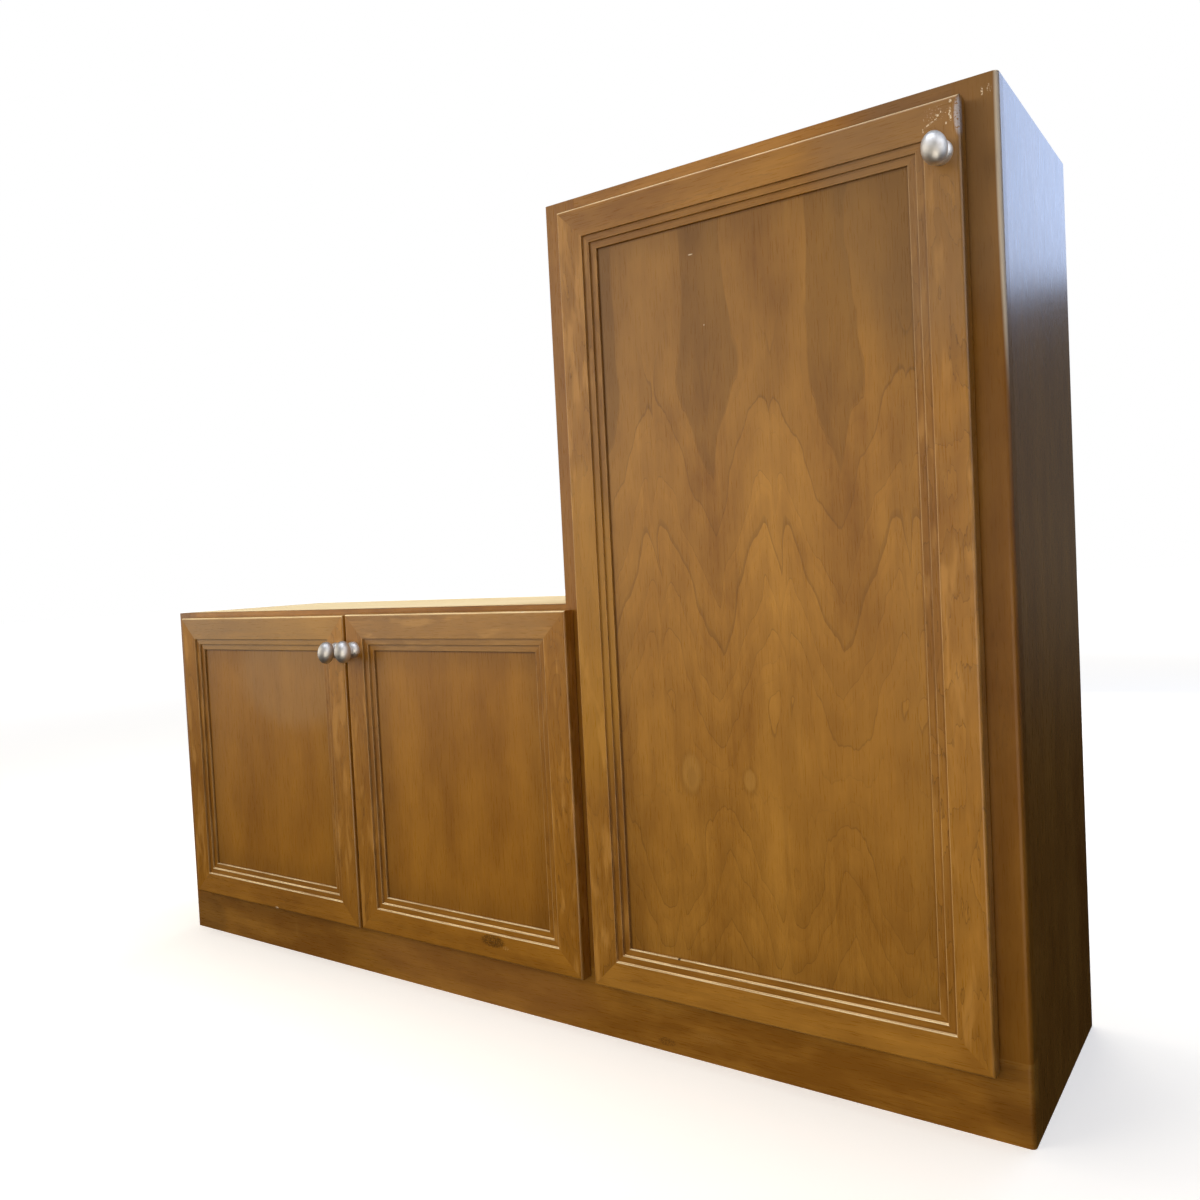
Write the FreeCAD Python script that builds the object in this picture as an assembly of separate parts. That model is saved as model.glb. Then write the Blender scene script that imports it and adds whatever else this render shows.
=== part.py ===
"""Stepped face-frame cabinet: a low two-door part beside a tall one-door part.

Millimetres. +Z is up, the doors face -Y, +X is to the right of someone facing the doors.
The origin lies on the floor under the middle of the whole cabinet, knobs included.
"""
import FreeCAD, Part
import math
import os
from FreeCAD import Rotation, Vector

# Overall sizes
overall_width = 1344.0
tall_width = 527.0
tall_height = 1021.0
low_height = 535.0
case_depth = 305.0

# Face frame
frame_thick = 19.0
left_stile_width = 50.0
middle_stile_width = 42.0
right_stile_width = 42.0
top_rail_width = 38.0
base_rail_height = 83.0
frame_edge_round = 5.5
tenon_length = 10.0
tenon_thick = 6.0
tenon_shoulder = 6.0
tenon_clear = 0.15

# Case panels
panel_thick = 16.0
back_thick = 5.0
groove_depth = 5.0
hanging_rail_height = 60.0
hanging_rail_thick = 16.0

# Shelves and their pins
low_shelf_level = 270.0
tall_lower_shelf_level = 372.0
tall_upper_shelf_level = 672.0
shelf_thick = 16.0
shelf_end_gap = 2.0
shelf_front_setback = 12.0
shelf_back_gap = 4.0
shelf_edge_round = 1.5
pin_radius = 2.5
pin_hole_clear = 0.05
pin_hole_depth = 7.0
pin_collar_radius = 4.0
pin_collar_thick = 1.5
pin_nose_length = 8.0
pin_edge_inset = 37.0
pin_pitch = 32.0
pin_rows = 3

# Doors
door_thick = 19.0
door_gap = 2.0
door_overlay = 12.0
tall_top_reveal = 20.0
low_top_reveal = 8.0
meeting_gap = 5.0
low_right_door_lift = 1.2
door_edge_round = 3.0
door_back_round = 1.5

# Door frame moulding: a flat border, two bands and three risers down to the panel
border_width = 34.5
band_width = 8.5
riser = 2.5
riser_round = 0.7
panel_sheet = 6.0
panel_groove_depth = 9.0
panel_float = 1.0
panel_clear = 0.1
corner_tenon_reach = 22.0
corner_tenon_low = 18.0
corner_tenon_high = 33.0
corner_tenon_thick = 5.0

# Knobs: an upright egg on a neck and a domed foot
low_left_knob_inset = 13.5
low_right_knob_inset = 16.5
tall_knob_inset = 18.5
low_left_knob_turn = 11.0
low_right_knob_turn = 0.0
tall_knob_turn = -6.0
knob_top_inset = 50.0
knob_head_radius = 12.0
knob_head_half_height = 15.8
knob_head_drop = 1.6
knob_foot_radius = 11.8
knob_foot_rim = 1.2
knob_foot_height = 9.0
knob_foot_bulge = 1.6
knob_neck_radius = 6.2
knob_neck_flare = 1.9
knob_projection = 32.5
knob_bore_depth = 10.0
knob_screw_radius = 2.0
knob_screw_head_radius = 4.0
knob_screw_head_thick = 1.9
knob_screw_clear = 0.25
screw_tip_gap = 1.0
screw_head_rounding = 0.4
thread_clear = 0.05

# Concealed hinges
hinge_end_inset = 75.0
hinge_axis_inset = 6.5
hinge_axis_depth = 9.5
hinge_pin_radius = 1.25
hinge_pin_length = 15.6
hinge_press_clear = 0.01
hinge_run_clear = 0.05
hinge_eye_radius = 2.3
hinge_arm_width = 8.0
hinge_arm_thick = 2.2
hinge_arm_reach = 10.3
hinge_plate_height = 42.0
hinge_plate_setback = 1.5
cup_radius = 17.5
cup_edge_inset = 3.0
cup_bore_depth = 13.5
cup_clear = 0.1
cup_floor = 0.6
cup_slot_clear = 0.4
hinge_corner_share = 0.3
hinge_inner_bend_share = 0.2
cup_flange_thick = 1.2
cup_flange_width = 24.0
cup_flange_height = 60.0
cup_screw_pitch = 47.0
plate_screw_pitch = 28.0
wood_screw_radius = 1.6
wood_screw_head_radius = 3.2
wood_screw_head_thick = 1.4
wood_screw_length = 12.0
wood_screw_clear = 0.1

# Door bumpers
bumper_radius = 4.0
bumper_gap = 0.1
bumper_edge_inset = 6.0
bumper_side_inset = 20.0

# Places that follow from the sizes above
x_left = -overall_width / 2
x_right = overall_width / 2
x_step = x_right - tall_width
total_depth = case_depth + door_gap + door_thick + knob_projection
y_back = total_depth / 2
y_frame = y_back - case_depth
y_case = y_frame + frame_thick
y_inside_back = y_back - back_thick
y_door = y_frame - door_gap - door_thick
door_bottom = base_rail_height - door_overlay
member_width = border_width + 2 * band_width
panel_face = 3 * riser


class DoorPlan:
    """One door: its outline on the front, the side it is hinged on, its knob's inset and turn."""

    def __init__(self, name, left, right, bottom, top, hinged_left, knob_inset, knob_turn):
        self.name = name
        self.left = left
        self.right = right
        self.bottom = bottom
        self.top = top
        self.hinged_left = hinged_left
        self.knob_inset = knob_inset
        self.knob_turn = knob_turn
        self.width = right - left
        self.height = top - bottom
        # +1 where distances from the hinged edge run towards +X
        self.sense = 1 if hinged_left else -1
        self.hinge_edge = left if hinged_left else right
        self.free_edge = right if hinged_left else left
        self.hinge_levels = (bottom + hinge_end_inset, top - hinge_end_inset)

    def from_hinge(self, inset):
        """X of a line that lies inset from the hinged edge."""
        return self.hinge_edge + self.sense * inset

    def from_free(self, inset):
        """X of a line that lies inset from the free edge."""
        return self.free_edge - self.sense * inset


low_doors_left = x_left + left_stile_width - door_overlay
low_doors_right = x_step + door_overlay
low_door_width = (low_doors_right - low_doors_left - meeting_gap) / 2
low_door_top = low_height - low_top_reveal
tall_door_top = tall_height - tall_top_reveal
tall_door_left = x_step + middle_stile_width - door_overlay
tall_door_right = x_right - right_stile_width + door_overlay

low_left_door = DoorPlan("low_left_door", low_doors_left, low_doors_left + low_door_width,
                         door_bottom, low_door_top, True, low_left_knob_inset, low_left_knob_turn)
# The right one of the pair hangs a little higher than the left one
low_right_door = DoorPlan("low_right_door", low_doors_right - low_door_width, low_doors_right,
                          door_bottom + low_right_door_lift, low_door_top + low_right_door_lift,
                          False, low_right_knob_inset, low_right_knob_turn)
tall_door = DoorPlan("tall_door", tall_door_left, tall_door_right, door_bottom, tall_door_top,
                     True, tall_knob_inset, tall_knob_turn)
doors = (low_left_door, low_right_door, tall_door)


def block(x0, x1, y0, y1, z0, z1):
    """Rectangular solid between two corners."""
    return Part.makeBox(x1 - x0, y1 - y0, z1 - z0, Vector(x0, y0, z0))


def rod(radius, start, end):
    """Round bar from one point to another."""
    axis = end - start
    return Part.makeCylinder(radius, axis.Length, start, axis)


def filleted(shape, radius, chosen):
    """Round the straight edges whose middle point the chosen test accepts."""
    edges = [edge for edge in shape.Edges if chosen(edge.CenterOfMass)]
    return shape.makeFillet(radius, edges)


def near(value, target):
    """True where two coordinates agree."""
    return abs(value - target) < 1e-6


def profile_face(corners):
    """Face in the XY plane from (x, y, radius) corners, each rounded by a tangent arc."""
    count = len(corners)
    edges = []
    last_end = None
    first_start = None
    for index in range(count):
        x, y, radius = corners[index]
        here = Vector(x, y, 0)
        before = Vector(*corners[index - 1][:2], 0) - here
        after = Vector(*corners[(index + 1) % count][:2], 0) - here
        before.normalize()
        after.normalize()
        if radius:
            half = before.getAngle(after) / 2
            reach = radius / math.tan(half)
            bisector = (before + after).normalize()
            start = here + before * reach
            end = here + after * reach
            middle = here + bisector * (radius / math.sin(half) - radius)
        else:
            start = end = here
        if last_end is None:
            first_start = start
        else:
            edges.append(Part.LineSegment(last_end, start).toShape())
        if radius:
            edges.append(Part.Arc(start, middle, end).toShape())
        last_end = end
    edges.append(Part.LineSegment(last_end, first_start).toShape())
    return Part.Face(Part.Wire(edges))


def one_solid(shape):
    """The single clean solid of a boolean result."""
    clean = shape.removeSplitter()
    if len(clean.Solids) != 1:
        raise ValueError("expected one solid, found %d" % len(clean.Solids))
    return clean.Solids[0]


def frame_tenon(x0, x1, z0, z1, grow):
    """Tenon block in the middle of the frame's thickness, grown for its mortise."""
    y_middle = y_frame + frame_thick / 2
    half = tenon_thick / 2 + grow
    return block(x0, x1, y_middle - half, y_middle + half, z0, z1)


def rail_tenons(x0, x1, z0, z1, grow):
    """Both end tenons of a rail that spans x0 to x1."""
    low = z0 + tenon_shoulder - grow
    high = z1 - tenon_shoulder + grow
    reach = tenon_length + grow
    left = frame_tenon(x0 - reach, x0, low, high, grow)
    right = frame_tenon(x1, x1 + reach, low, high, grow)
    return [left, right]


def stile_tenon(x0, x1, grow):
    """Foot tenon of a stile, let into the base rail."""
    reach = tenon_length + grow
    return frame_tenon(x0 + tenon_shoulder - grow, x1 - tenon_shoulder + grow,
                       base_rail_height - reach, base_rail_height, grow)


def pilot_holes(door):
    """Screw holes of one door's hinge plates in the stile beside its opening."""
    start = door.from_hinge(door_overlay + hinge_arm_thick)
    end = door.from_hinge(door_overlay - wood_screw_length - screw_tip_gap)
    return [rod(wood_screw_radius + wood_screw_clear, Vector(start, plate_screw_y(), z),
                Vector(end, plate_screw_y(), z)) for z in plate_screw_levels(door)]


def plate_screw_y():
    """Middle of the hinge plates, front to back."""
    return y_frame + (hinge_plate_setback + frame_thick) / 2


def plate_screw_levels(door):
    """Heights of all hinge plate screws of a door."""
    return [z + side * plate_screw_pitch / 2 for z in door.hinge_levels for side in (-1, 1)]


def make_face_frame():
    """Stiles and rails of the L-shaped face frame, tenoned together."""
    y0, y1 = y_frame, y_case
    stiles = {
        "frame_left_stile": (x_left, x_left + left_stile_width, low_height),
        "frame_middle_stile": (x_step, x_step + middle_stile_width, tall_height),
        "frame_right_stile": (x_right - right_stile_width, x_right, tall_height),
    }
    rails = {
        "frame_low_top_rail": (x_left + left_stile_width, x_step, low_height),
        "frame_tall_top_rail": (x_step + middle_stile_width, x_right - right_stile_width, tall_height),
    }
    nodes = {}
    base = block(x_left, x_right, y0, y1, 0, base_rail_height)
    for name, (x0, x1, top) in stiles.items():
        stile = block(x0, x1, y0, y1, base_rail_height, top)
        outer = [x for x in (x0, x1) if near(x, x_left) or near(x, x_right)]
        for x in outer:
            stile = filleted(stile, frame_edge_round, lambda p, x=x: near(p.x, x) and near(p.y, y0))
        stile = stile.fuse(stile_tenon(x0, x1, 0))
        base = base.cut(stile_tenon(x0, x1, tenon_clear))
        for rail_x0, rail_x1, rail_top in rails.values():
            mortises = rail_tenons(rail_x0, rail_x1, rail_top - top_rail_width, rail_top, tenon_clear)
            stile = stile.cut(mortises)
        for door in doors:
            stile = stile.cut(pilot_holes(door))
        nodes[name] = one_solid(stile)
    for name, (x0, x1, top) in rails.items():
        rail = block(x0, x1, y0, y1, top - top_rail_width, top)
        nodes[name] = one_solid(rail.fuse(rail_tenons(x0, x1, top - top_rail_width, top, 0)))
    ends = (x_left, x_right)
    base = filleted(one_solid(base), frame_edge_round,
                    lambda p: any(near(p.x, x) for x in ends) and near(p.y, y0))
    nodes["frame_base_rail"] = one_solid(base)
    return nodes


class Bay:
    """One part of the case between two side panels, with its top, bottom and back."""

    def __init__(self, prefix, inside_left, inside_right, top, shelf_levels, right_runs_on):
        self.prefix = prefix
        self.inside_left = inside_left
        self.inside_right = inside_right
        self.top = top
        self.bottom_top = base_rail_height
        self.bottom_under = base_rail_height - panel_thick
        self.top_under = top - panel_thick
        self.shelf_levels = shelf_levels
        # True where the right wall rises past this part's top
        self.right_runs_on = right_runs_on

    def housings(self):
        """Bottom, top and back panels, which are also the grooves that they take in the sides."""
        x0 = self.inside_left - groove_depth
        x1 = self.inside_right + groove_depth
        tongue_top = self.top_under + panel_thick / 2 if self.right_runs_on else self.top
        board = block(x0, self.inside_right, y_case, y_back, self.top_under, self.top)
        tongue = block(self.inside_right, x1, y_case, y_back, self.top_under, tongue_top)
        return [
            block(x0, x1, y_case, y_inside_back, self.bottom_under, self.bottom_top),
            one_solid(board.fuse(tongue)),
            block(x0, x1, y_inside_back, y_back, self.bottom_under, self.top_under),
        ]

    def panels(self):
        """Bottom, top, back, hanging rail and rear plinth of this part."""
        x0, x1 = self.inside_left, self.inside_right
        grooved = self.housings()
        rail_front = y_inside_back - hanging_rail_thick
        return {
            self.prefix + "_bottom": grooved[0],
            self.prefix + "_top": grooved[1],
            self.prefix + "_back": grooved[2],
            self.prefix + "_hanging_rail": block(x0, x1, rail_front, y_inside_back,
                                                 self.top_under - hanging_rail_height, self.top_under),
            self.prefix + "_rear_plinth": block(x0, x1, rail_front, y_inside_back, 0, self.bottom_under),
        }

    def pin_points(self, level):
        """Left and right wall points of the pins at one level, with the way into the room."""
        depths = (y_case + pin_edge_inset, y_inside_back - pin_edge_inset)
        walls = ((self.inside_left, 1), (self.inside_right, -1))
        return [(Vector(x, y, level), Vector(inward, 0, 0)) for x, inward in walls for y in depths]

    def pin_holes(self):
        """Rows of shelf pin holes in both walls."""
        holes = []
        for shelf_level in self.shelf_levels:
            for row in range(pin_rows):
                level = shelf_level - pin_radius + (row - pin_rows // 2) * pin_pitch
                for point, inward in self.pin_points(level):
                    holes.append(rod(pin_radius + pin_hole_clear, point - inward * pin_hole_depth, point))
        return holes

    def shelf(self, level):
        """One loose shelf whose underside is at the level."""
        y_front = y_case + shelf_front_setback
        board = block(self.inside_left + shelf_end_gap, self.inside_right - shelf_end_gap,
                      y_front, y_inside_back - shelf_back_gap, level, level + shelf_thick)
        faces = (level, level + shelf_thick)
        return filleted(board, shelf_edge_round,
                        lambda p: near(p.y, y_front) and any(near(p.z, z) for z in faces))


inside_low_left = x_left + panel_thick
divider_right = x_step + panel_thick
inside_tall_right = x_right - panel_thick
low_bay = Bay("low", inside_low_left, x_step, low_height, (low_shelf_level,), True)
tall_bay = Bay("tall", divider_right, inside_tall_right, tall_height,
               (tall_lower_shelf_level, tall_upper_shelf_level), False)


def make_case():
    """Side panels with their grooves and pin holes, and all panels between them."""
    y0, y1 = y_case, y_back
    sides = {
        "low_left_side": (block(x_left, inside_low_left, y0, y1, 0, low_height), (low_bay,)),
        "tall_left_side": (block(x_step, divider_right, y0, y1, 0, tall_height), (low_bay, tall_bay)),
        "tall_right_side": (block(inside_tall_right, x_right, y0, y1, 0, tall_height), (tall_bay,)),
    }
    nodes = {}
    for name, (side, bays) in sides.items():
        for bay in bays:
            side = side.cut(bay.housings() + bay.pin_holes())
        nodes[name] = one_solid(side)
    for bay in (low_bay, tall_bay):
        nodes.update(bay.panels())
    nodes["low_shelf"] = low_bay.shelf(low_shelf_level)
    nodes["tall_lower_shelf"] = tall_bay.shelf(tall_lower_shelf_level)
    nodes["tall_upper_shelf"] = tall_bay.shelf(tall_upper_shelf_level)
    nodes["shelf_pins"] = Part.makeCompound(make_shelf_pins())
    return nodes


def make_shelf_pins():
    """Turned pins: a barrel in the wall, a collar against it and a nose under the shelf."""
    pins = []
    for bay in (low_bay, tall_bay):
        for shelf_level in bay.shelf_levels:
            for point, inward in bay.pin_points(shelf_level - pin_radius):
                barrel = rod(pin_radius, point - inward * (pin_hole_depth - pin_hole_clear),
                             point + inward * pin_nose_length)
                collar = rod(pin_collar_radius, point, point + inward * pin_collar_thick)
                pins.append(one_solid(barrel.fuse(collar)))
    return pins


def door_section():
    """Cross-section of a door frame member: x in from the outer edge, y back from the face."""
    groove_front = panel_face
    groove_back = panel_face + panel_sheet + 2 * panel_clear
    groove_bottom = member_width - panel_groove_depth
    first_riser = border_width
    second_riser = border_width + band_width
    return profile_face([
        (0, 0, door_edge_round),
        (first_riser, 0, riser_round),
        (first_riser, riser, 0),
        (second_riser, riser, riser_round),
        (second_riser, 2 * riser, 0),
        (member_width, 2 * riser, riser_round),
        (member_width, groove_front, 0),
        (groove_bottom, groove_front, 0),
        (groove_bottom, groove_back, 0),
        (member_width, groove_back, 0),
        (member_width, door_thick, 0),
        (0, door_thick, door_back_round),
    ])


def mitred_member(length):
    """Door frame member along Z, outer edge at X = 0, with both ends mitred."""
    bar = door_section().extrude(Vector(0, 0, length))
    outline = Part.makePolygon([
        Vector(0, 0, 0), Vector(member_width, 0, member_width),
        Vector(member_width, 0, length - member_width), Vector(0, 0, length), Vector(0, 0, 0)])
    return one_solid(bar.common(Part.Face(outline).extrude(Vector(0, door_thick, 0))))


def placed(shape, corner, turn):
    """Copy turned about the Y axis and moved so that its origin lies on the corner."""
    copy = shape.copy()
    copy.Placement = FreeCAD.Placement(corner, Rotation(Vector(0, 1, 0), turn))
    return copy


def corner_tenon(x, inward, z, upward, grow):
    """Tenon through a mitre, from a rail into the stile at the door corner (x, z)."""
    tip = corner_tenon_high - corner_tenon_reach - grow
    across = sorted((x + inward * tip, x + inward * corner_tenon_high))
    along = sorted((z + upward * (corner_tenon_low - grow), z + upward * (corner_tenon_high + grow)))
    y_middle = y_door + panel_face + panel_clear + panel_sheet / 2
    half = corner_tenon_thick / 2 + grow
    return block(*across, y_middle - half, y_middle + half, *along)


def make_door_frame(door):
    """Four mitred members, with the bores of the hinge cups and the knob screw."""
    upright = mitred_member(door.height)
    level = mitred_member(door.width)
    nodes = {
        "left_stile": placed(upright, Vector(door.left, y_door, door.bottom), 0),
        "right_stile": placed(upright, Vector(door.right, y_door, door.top), 180),
        "bottom_rail": placed(level, Vector(door.right, y_door, door.bottom), -90),
        "top_rail": placed(level, Vector(door.left, y_door, door.top), 90),
    }
    for stile, x, inward in (("left_stile", door.left, 1), ("right_stile", door.right, -1)):
        for rail, z, upward in (("bottom_rail", door.bottom, 1), ("top_rail", door.top, -1)):
            nodes[rail] = one_solid(nodes[rail].fuse(corner_tenon(x, inward, z, upward, 0)))
            nodes[stile] = one_solid(nodes[stile].cut(corner_tenon(x, inward, z, upward, tenon_clear)))
    hinge_stile = "left_stile" if door.hinged_left else "right_stile"
    knob_stile = "right_stile" if door.hinged_left else "left_stile"
    nodes[hinge_stile] = one_solid(nodes[hinge_stile].cut(cup_bores(door)))
    nodes[knob_stile] = one_solid(nodes[knob_stile].cut(
        rod(knob_screw_radius + knob_screw_clear, knob_point(door, 0), knob_point(door, door_thick))))
    return nodes


def make_door_panel(door):
    """Flat veneered panel, held in the grooves with room to move."""
    inset = member_width - panel_groove_depth + panel_float
    y0 = y_door + panel_face + panel_clear
    return block(door.left + inset, door.right - inset, y0, y0 + panel_sheet,
                 door.bottom + inset, door.top - inset)


def knob_point(door, depth):
    """Point on the knob's axis, at a depth behind the door's face."""
    return Vector(door.from_free(door.knob_inset), y_door + depth, door.top - knob_top_inset)


def knob_stem(end):
    """Domed foot and flared neck, turned about the Y axis, out to the end distance."""
    rim = Vector(knob_foot_radius, -knob_foot_rim, 0)
    shoulder = Vector(knob_neck_radius, -knob_foot_height, 0)
    chord = shoulder - rim
    outward = Vector(-chord.y, chord.x, 0).normalize()
    dome = (rim + shoulder) / 2 + outward * knob_foot_bulge
    flare = Vector(knob_neck_radius + knob_neck_flare, -end, 0)
    waist = Vector(knob_neck_radius, -(knob_foot_height + end) / 2, 0)
    edges = [
        Part.LineSegment(Vector(0, 0, 0), Vector(knob_foot_radius, 0, 0)).toShape(),
        Part.LineSegment(Vector(knob_foot_radius, 0, 0), rim).toShape(),
        Part.Arc(rim, dome, shoulder).toShape(),
        Part.Arc(shoulder, waist, flare).toShape(),
        Part.LineSegment(flare, Vector(0, -end, 0)).toShape(),
        Part.LineSegment(Vector(0, -end, 0), Vector(0, 0, 0)).toShape(),
    ]
    return Part.Face(Part.Wire(edges)).revolve(Vector(0, 0, 0), Vector(0, 1, 0), 360)


def knob_head(middle):
    """Upright egg, a ball stretched in height, with its middle at a distance in front of the foot."""
    ball = Part.makeSphere(knob_head_radius, Vector(0, 0, 0), Vector(0, -1, 0))
    stretch = FreeCAD.Matrix()
    stretch.scale(Vector(1, 1, knob_head_half_height / knob_head_radius))
    egg = ball.transformGeometry(stretch)
    egg.translate(Vector(0, -middle, -knob_head_drop))
    return egg


def make_knob(door):
    """Egg-shaped knob: head and stem in one casting, bored for its screw."""
    middle = knob_projection - knob_head_radius
    knob = one_solid(knob_head(middle).fuse(knob_stem(middle - knob_head_radius / 2)))
    knob.rotate(Vector(0, 0, 0), Vector(0, 1, 0), door.knob_turn)
    knob.translate(knob_point(door, 0))
    bore = rod(knob_screw_radius + thread_clear, knob_point(door, -knob_bore_depth), knob_point(door, 0))
    return one_solid(knob.cut(bore))


def make_knob_screw(door):
    """Machine screw from the back of the door into the knob."""
    tip = knob_point(door, screw_tip_gap - knob_bore_depth)
    shank = rod(knob_screw_radius, tip, knob_point(door, door_thick))
    head = rod(knob_screw_head_radius, knob_point(door, door_thick),
               knob_point(door, door_thick + knob_screw_head_thick))
    head = filleted(head, screw_head_rounding * knob_screw_head_thick,
                    lambda p: near(p.y, y_door + door_thick + knob_screw_head_thick))
    return one_solid(shank.fuse(head))


def hinge_frame(door, z, shape):
    """Bring a hinge piece from hinge coordinates to its place on a door.

    In hinge coordinates X runs in from the door's hinged edge, Y back from its face and Z up
    from the middle of the hinge.
    """
    if door.sense < 0:
        shape = shape.mirror(Vector(0, 0, 0), Vector(1, 0, 0))
    shape.translate(Vector(door.hinge_edge, y_door, z))
    return shape


cup_centre = cup_edge_inset + cup_radius
cup_back = door_thick + cup_flange_thick
arm_leg_inner = hinge_axis_inset + hinge_arm_reach
arm_leg_outer = arm_leg_inner + hinge_arm_thick
plate_front = door_thick + door_gap + hinge_plate_setback
plate_back = door_thick + door_gap + frame_thick


def cup_bores(door):
    """Round cup bores and flange screw holes in the back of the hinged stile."""
    holes = []
    for z in door.hinge_levels:
        bore = rod(cup_radius, Vector(cup_centre, door_thick - cup_bore_depth, 0),
                   Vector(cup_centre, door_thick, 0))
        holes.append(hinge_frame(door, z, bore))
        for side in (-1, 1):
            level = side * cup_screw_pitch / 2
            pilot = rod(wood_screw_radius + wood_screw_clear,
                        Vector(cup_centre, cup_back - wood_screw_length - screw_tip_gap, level),
                        Vector(cup_centre, door_thick, level))
            holes.append(hinge_frame(door, z, pilot))
    return holes


def hinge_cup():
    """Die-cast cup with a flange, slotted for the arm and cross-bored for the pin."""
    body_front = door_thick - cup_bore_depth + cup_clear
    body = rod(cup_radius - cup_clear, Vector(cup_centre, body_front, 0), Vector(cup_centre, cup_back, 0))
    half_w = cup_flange_width / 2
    half_h = cup_flange_height / 2
    flange = block(cup_centre - half_w, cup_centre + half_w, door_thick, cup_back, -half_h, half_h)
    flange = filleted(flange, hinge_corner_share * cup_flange_width, lambda p: near(abs(p.z), half_h) and
                      near(abs(p.x - cup_centre), half_w))
    lip = block(0, cup_centre - half_w, door_thick, cup_back, -half_h, half_h)
    half_slot = hinge_arm_width / 2 + cup_slot_clear
    slot_front = hinge_axis_depth - hinge_eye_radius - cup_floor
    slot = block(0, arm_leg_outer + 2 * cup_slot_clear, slot_front, cup_back, -half_slot, half_slot)
    slot = filleted(slot, cup_floor, lambda p: near(p.x, arm_leg_outer + 2 * cup_slot_clear) and
                    near(p.y, slot_front))
    half_pin = hinge_pin_length / 2 + hinge_run_clear
    holes = [rod(hinge_pin_radius + hinge_run_clear, Vector(hinge_axis_inset, hinge_axis_depth, -half_pin),
                 Vector(hinge_axis_inset, hinge_axis_depth, half_pin))]
    for side in (-1, 1):
        level = side * cup_screw_pitch / 2
        holes.append(rod(wood_screw_radius + wood_screw_clear, Vector(cup_centre, door_thick, level),
                         Vector(cup_centre, cup_back, level)))
    return one_solid(body.cut(lip).fuse(flange).cut([slot] + holes))


def hinge_arm():
    """Bent arm: an eye on the pin, a leg out of the cup and a plate on the stile's edge."""
    half_thick = hinge_arm_thick / 2
    half_width = hinge_arm_width / 2
    y0 = hinge_axis_depth - half_thick
    y1 = hinge_axis_depth + half_thick
    bend = hinge_arm_thick
    leg = profile_face([
        (hinge_axis_inset, y0, 0), (arm_leg_outer, y0, bend), (arm_leg_outer, plate_back, 0),
        (arm_leg_inner, plate_back, 0), (arm_leg_inner, y1, hinge_inner_bend_share * bend),
        (hinge_axis_inset, y1, 0)])
    leg = leg.extrude(Vector(0, 0, hinge_arm_width))
    leg.translate(Vector(0, 0, -half_width))
    eye_low = Vector(hinge_axis_inset, hinge_axis_depth, -half_width)
    eye_high = Vector(hinge_axis_inset, hinge_axis_depth, half_width)
    half_plate = hinge_plate_height / 2
    plate = block(door_overlay, arm_leg_inner, plate_front, plate_back, -half_plate, half_plate)
    corner = hinge_corner_share * (plate_back - plate_front)
    plate = filleted(plate, corner, lambda p: near(abs(p.z), half_plate) and
                     (near(p.y, plate_front) or near(p.y, plate_back)))
    arm = leg.fuse([rod(hinge_eye_radius, eye_low, eye_high), plate])
    plate_y = (plate_front + plate_back) / 2
    holes = [rod(hinge_pin_radius + hinge_press_clear, eye_low, eye_high)]
    for side in (-1, 1):
        level = side * plate_screw_pitch / 2
        holes.append(rod(wood_screw_radius + wood_screw_clear, Vector(door_overlay, plate_y, level),
                         Vector(arm_leg_inner, plate_y, level)))
    return one_solid(arm.cut(holes))


def hinge_pin():
    """Straight pin, fixed in the arm's eye and turning in the cup."""
    half = hinge_pin_length / 2
    return rod(hinge_pin_radius, Vector(hinge_axis_inset, hinge_axis_depth, -half),
               Vector(hinge_axis_inset, hinge_axis_depth, half))


def wood_screw(seat, inward):
    """Pan-head screw whose head rests on the seat point and whose shank runs inward."""
    shank = rod(wood_screw_radius, seat, seat + inward * wood_screw_length)
    head = rod(wood_screw_head_radius, seat - inward * wood_screw_head_thick, seat)
    return one_solid(shank.fuse(head))


def make_hinges():
    """Cups, cup screws and arms of every door, with all pins and plate screws."""
    nodes = {}
    pins = []
    plate_screws = []
    for door in doors:
        cups = []
        arms = []
        cup_screws = []
        for z in door.hinge_levels:
            cups.append(hinge_frame(door, z, hinge_cup()))
            arms.append(hinge_frame(door, z, hinge_arm()))
            pins.append(hinge_frame(door, z, hinge_pin()))
            for side in (-1, 1):
                cup_seat = Vector(cup_centre, cup_back, side * cup_screw_pitch / 2)
                cup_screws.append(hinge_frame(door, z, wood_screw(cup_seat, Vector(0, -1, 0))))
                plate_seat = Vector(arm_leg_inner, (plate_front + plate_back) / 2,
                                    side * plate_screw_pitch / 2)
                plate_screws.append(hinge_frame(door, z, wood_screw(plate_seat, Vector(-1, 0, 0))))
        nodes[door.name + "_hinge_cups"] = Part.makeCompound(cups)
        nodes[door.name + "_hinge_arms"] = Part.makeCompound(arms)
        nodes[door.name + "_cup_screws"] = Part.makeCompound(cup_screws)
    nodes["hinge_pins"] = Part.makeCompound(pins)
    nodes["hinge_plate_screws"] = Part.makeCompound(plate_screws)
    return nodes


def make_bumpers(door):
    """Soft discs behind the free corners, which the closed door rests on."""
    x = door.from_free(bumper_side_inset)
    start = y_door + door_thick
    discs = []
    for z in (door.bottom + bumper_edge_inset, door.top - bumper_edge_inset):
        discs.append(rod(bumper_radius, Vector(x, start, z), Vector(x, y_frame - bumper_gap, z)))
    return Part.makeCompound(discs)


def make_door(door):
    """All pieces of one door except its hinges."""
    nodes = {door.name + "_" + name: shape for name, shape in make_door_frame(door).items()}
    nodes[door.name + "_panel"] = make_door_panel(door)
    nodes[door.name + "_knob"] = make_knob(door)
    nodes[door.name + "_knob_screw"] = make_knob_screw(door)
    nodes[door.name + "_bumpers"] = make_bumpers(door)
    return nodes


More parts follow.
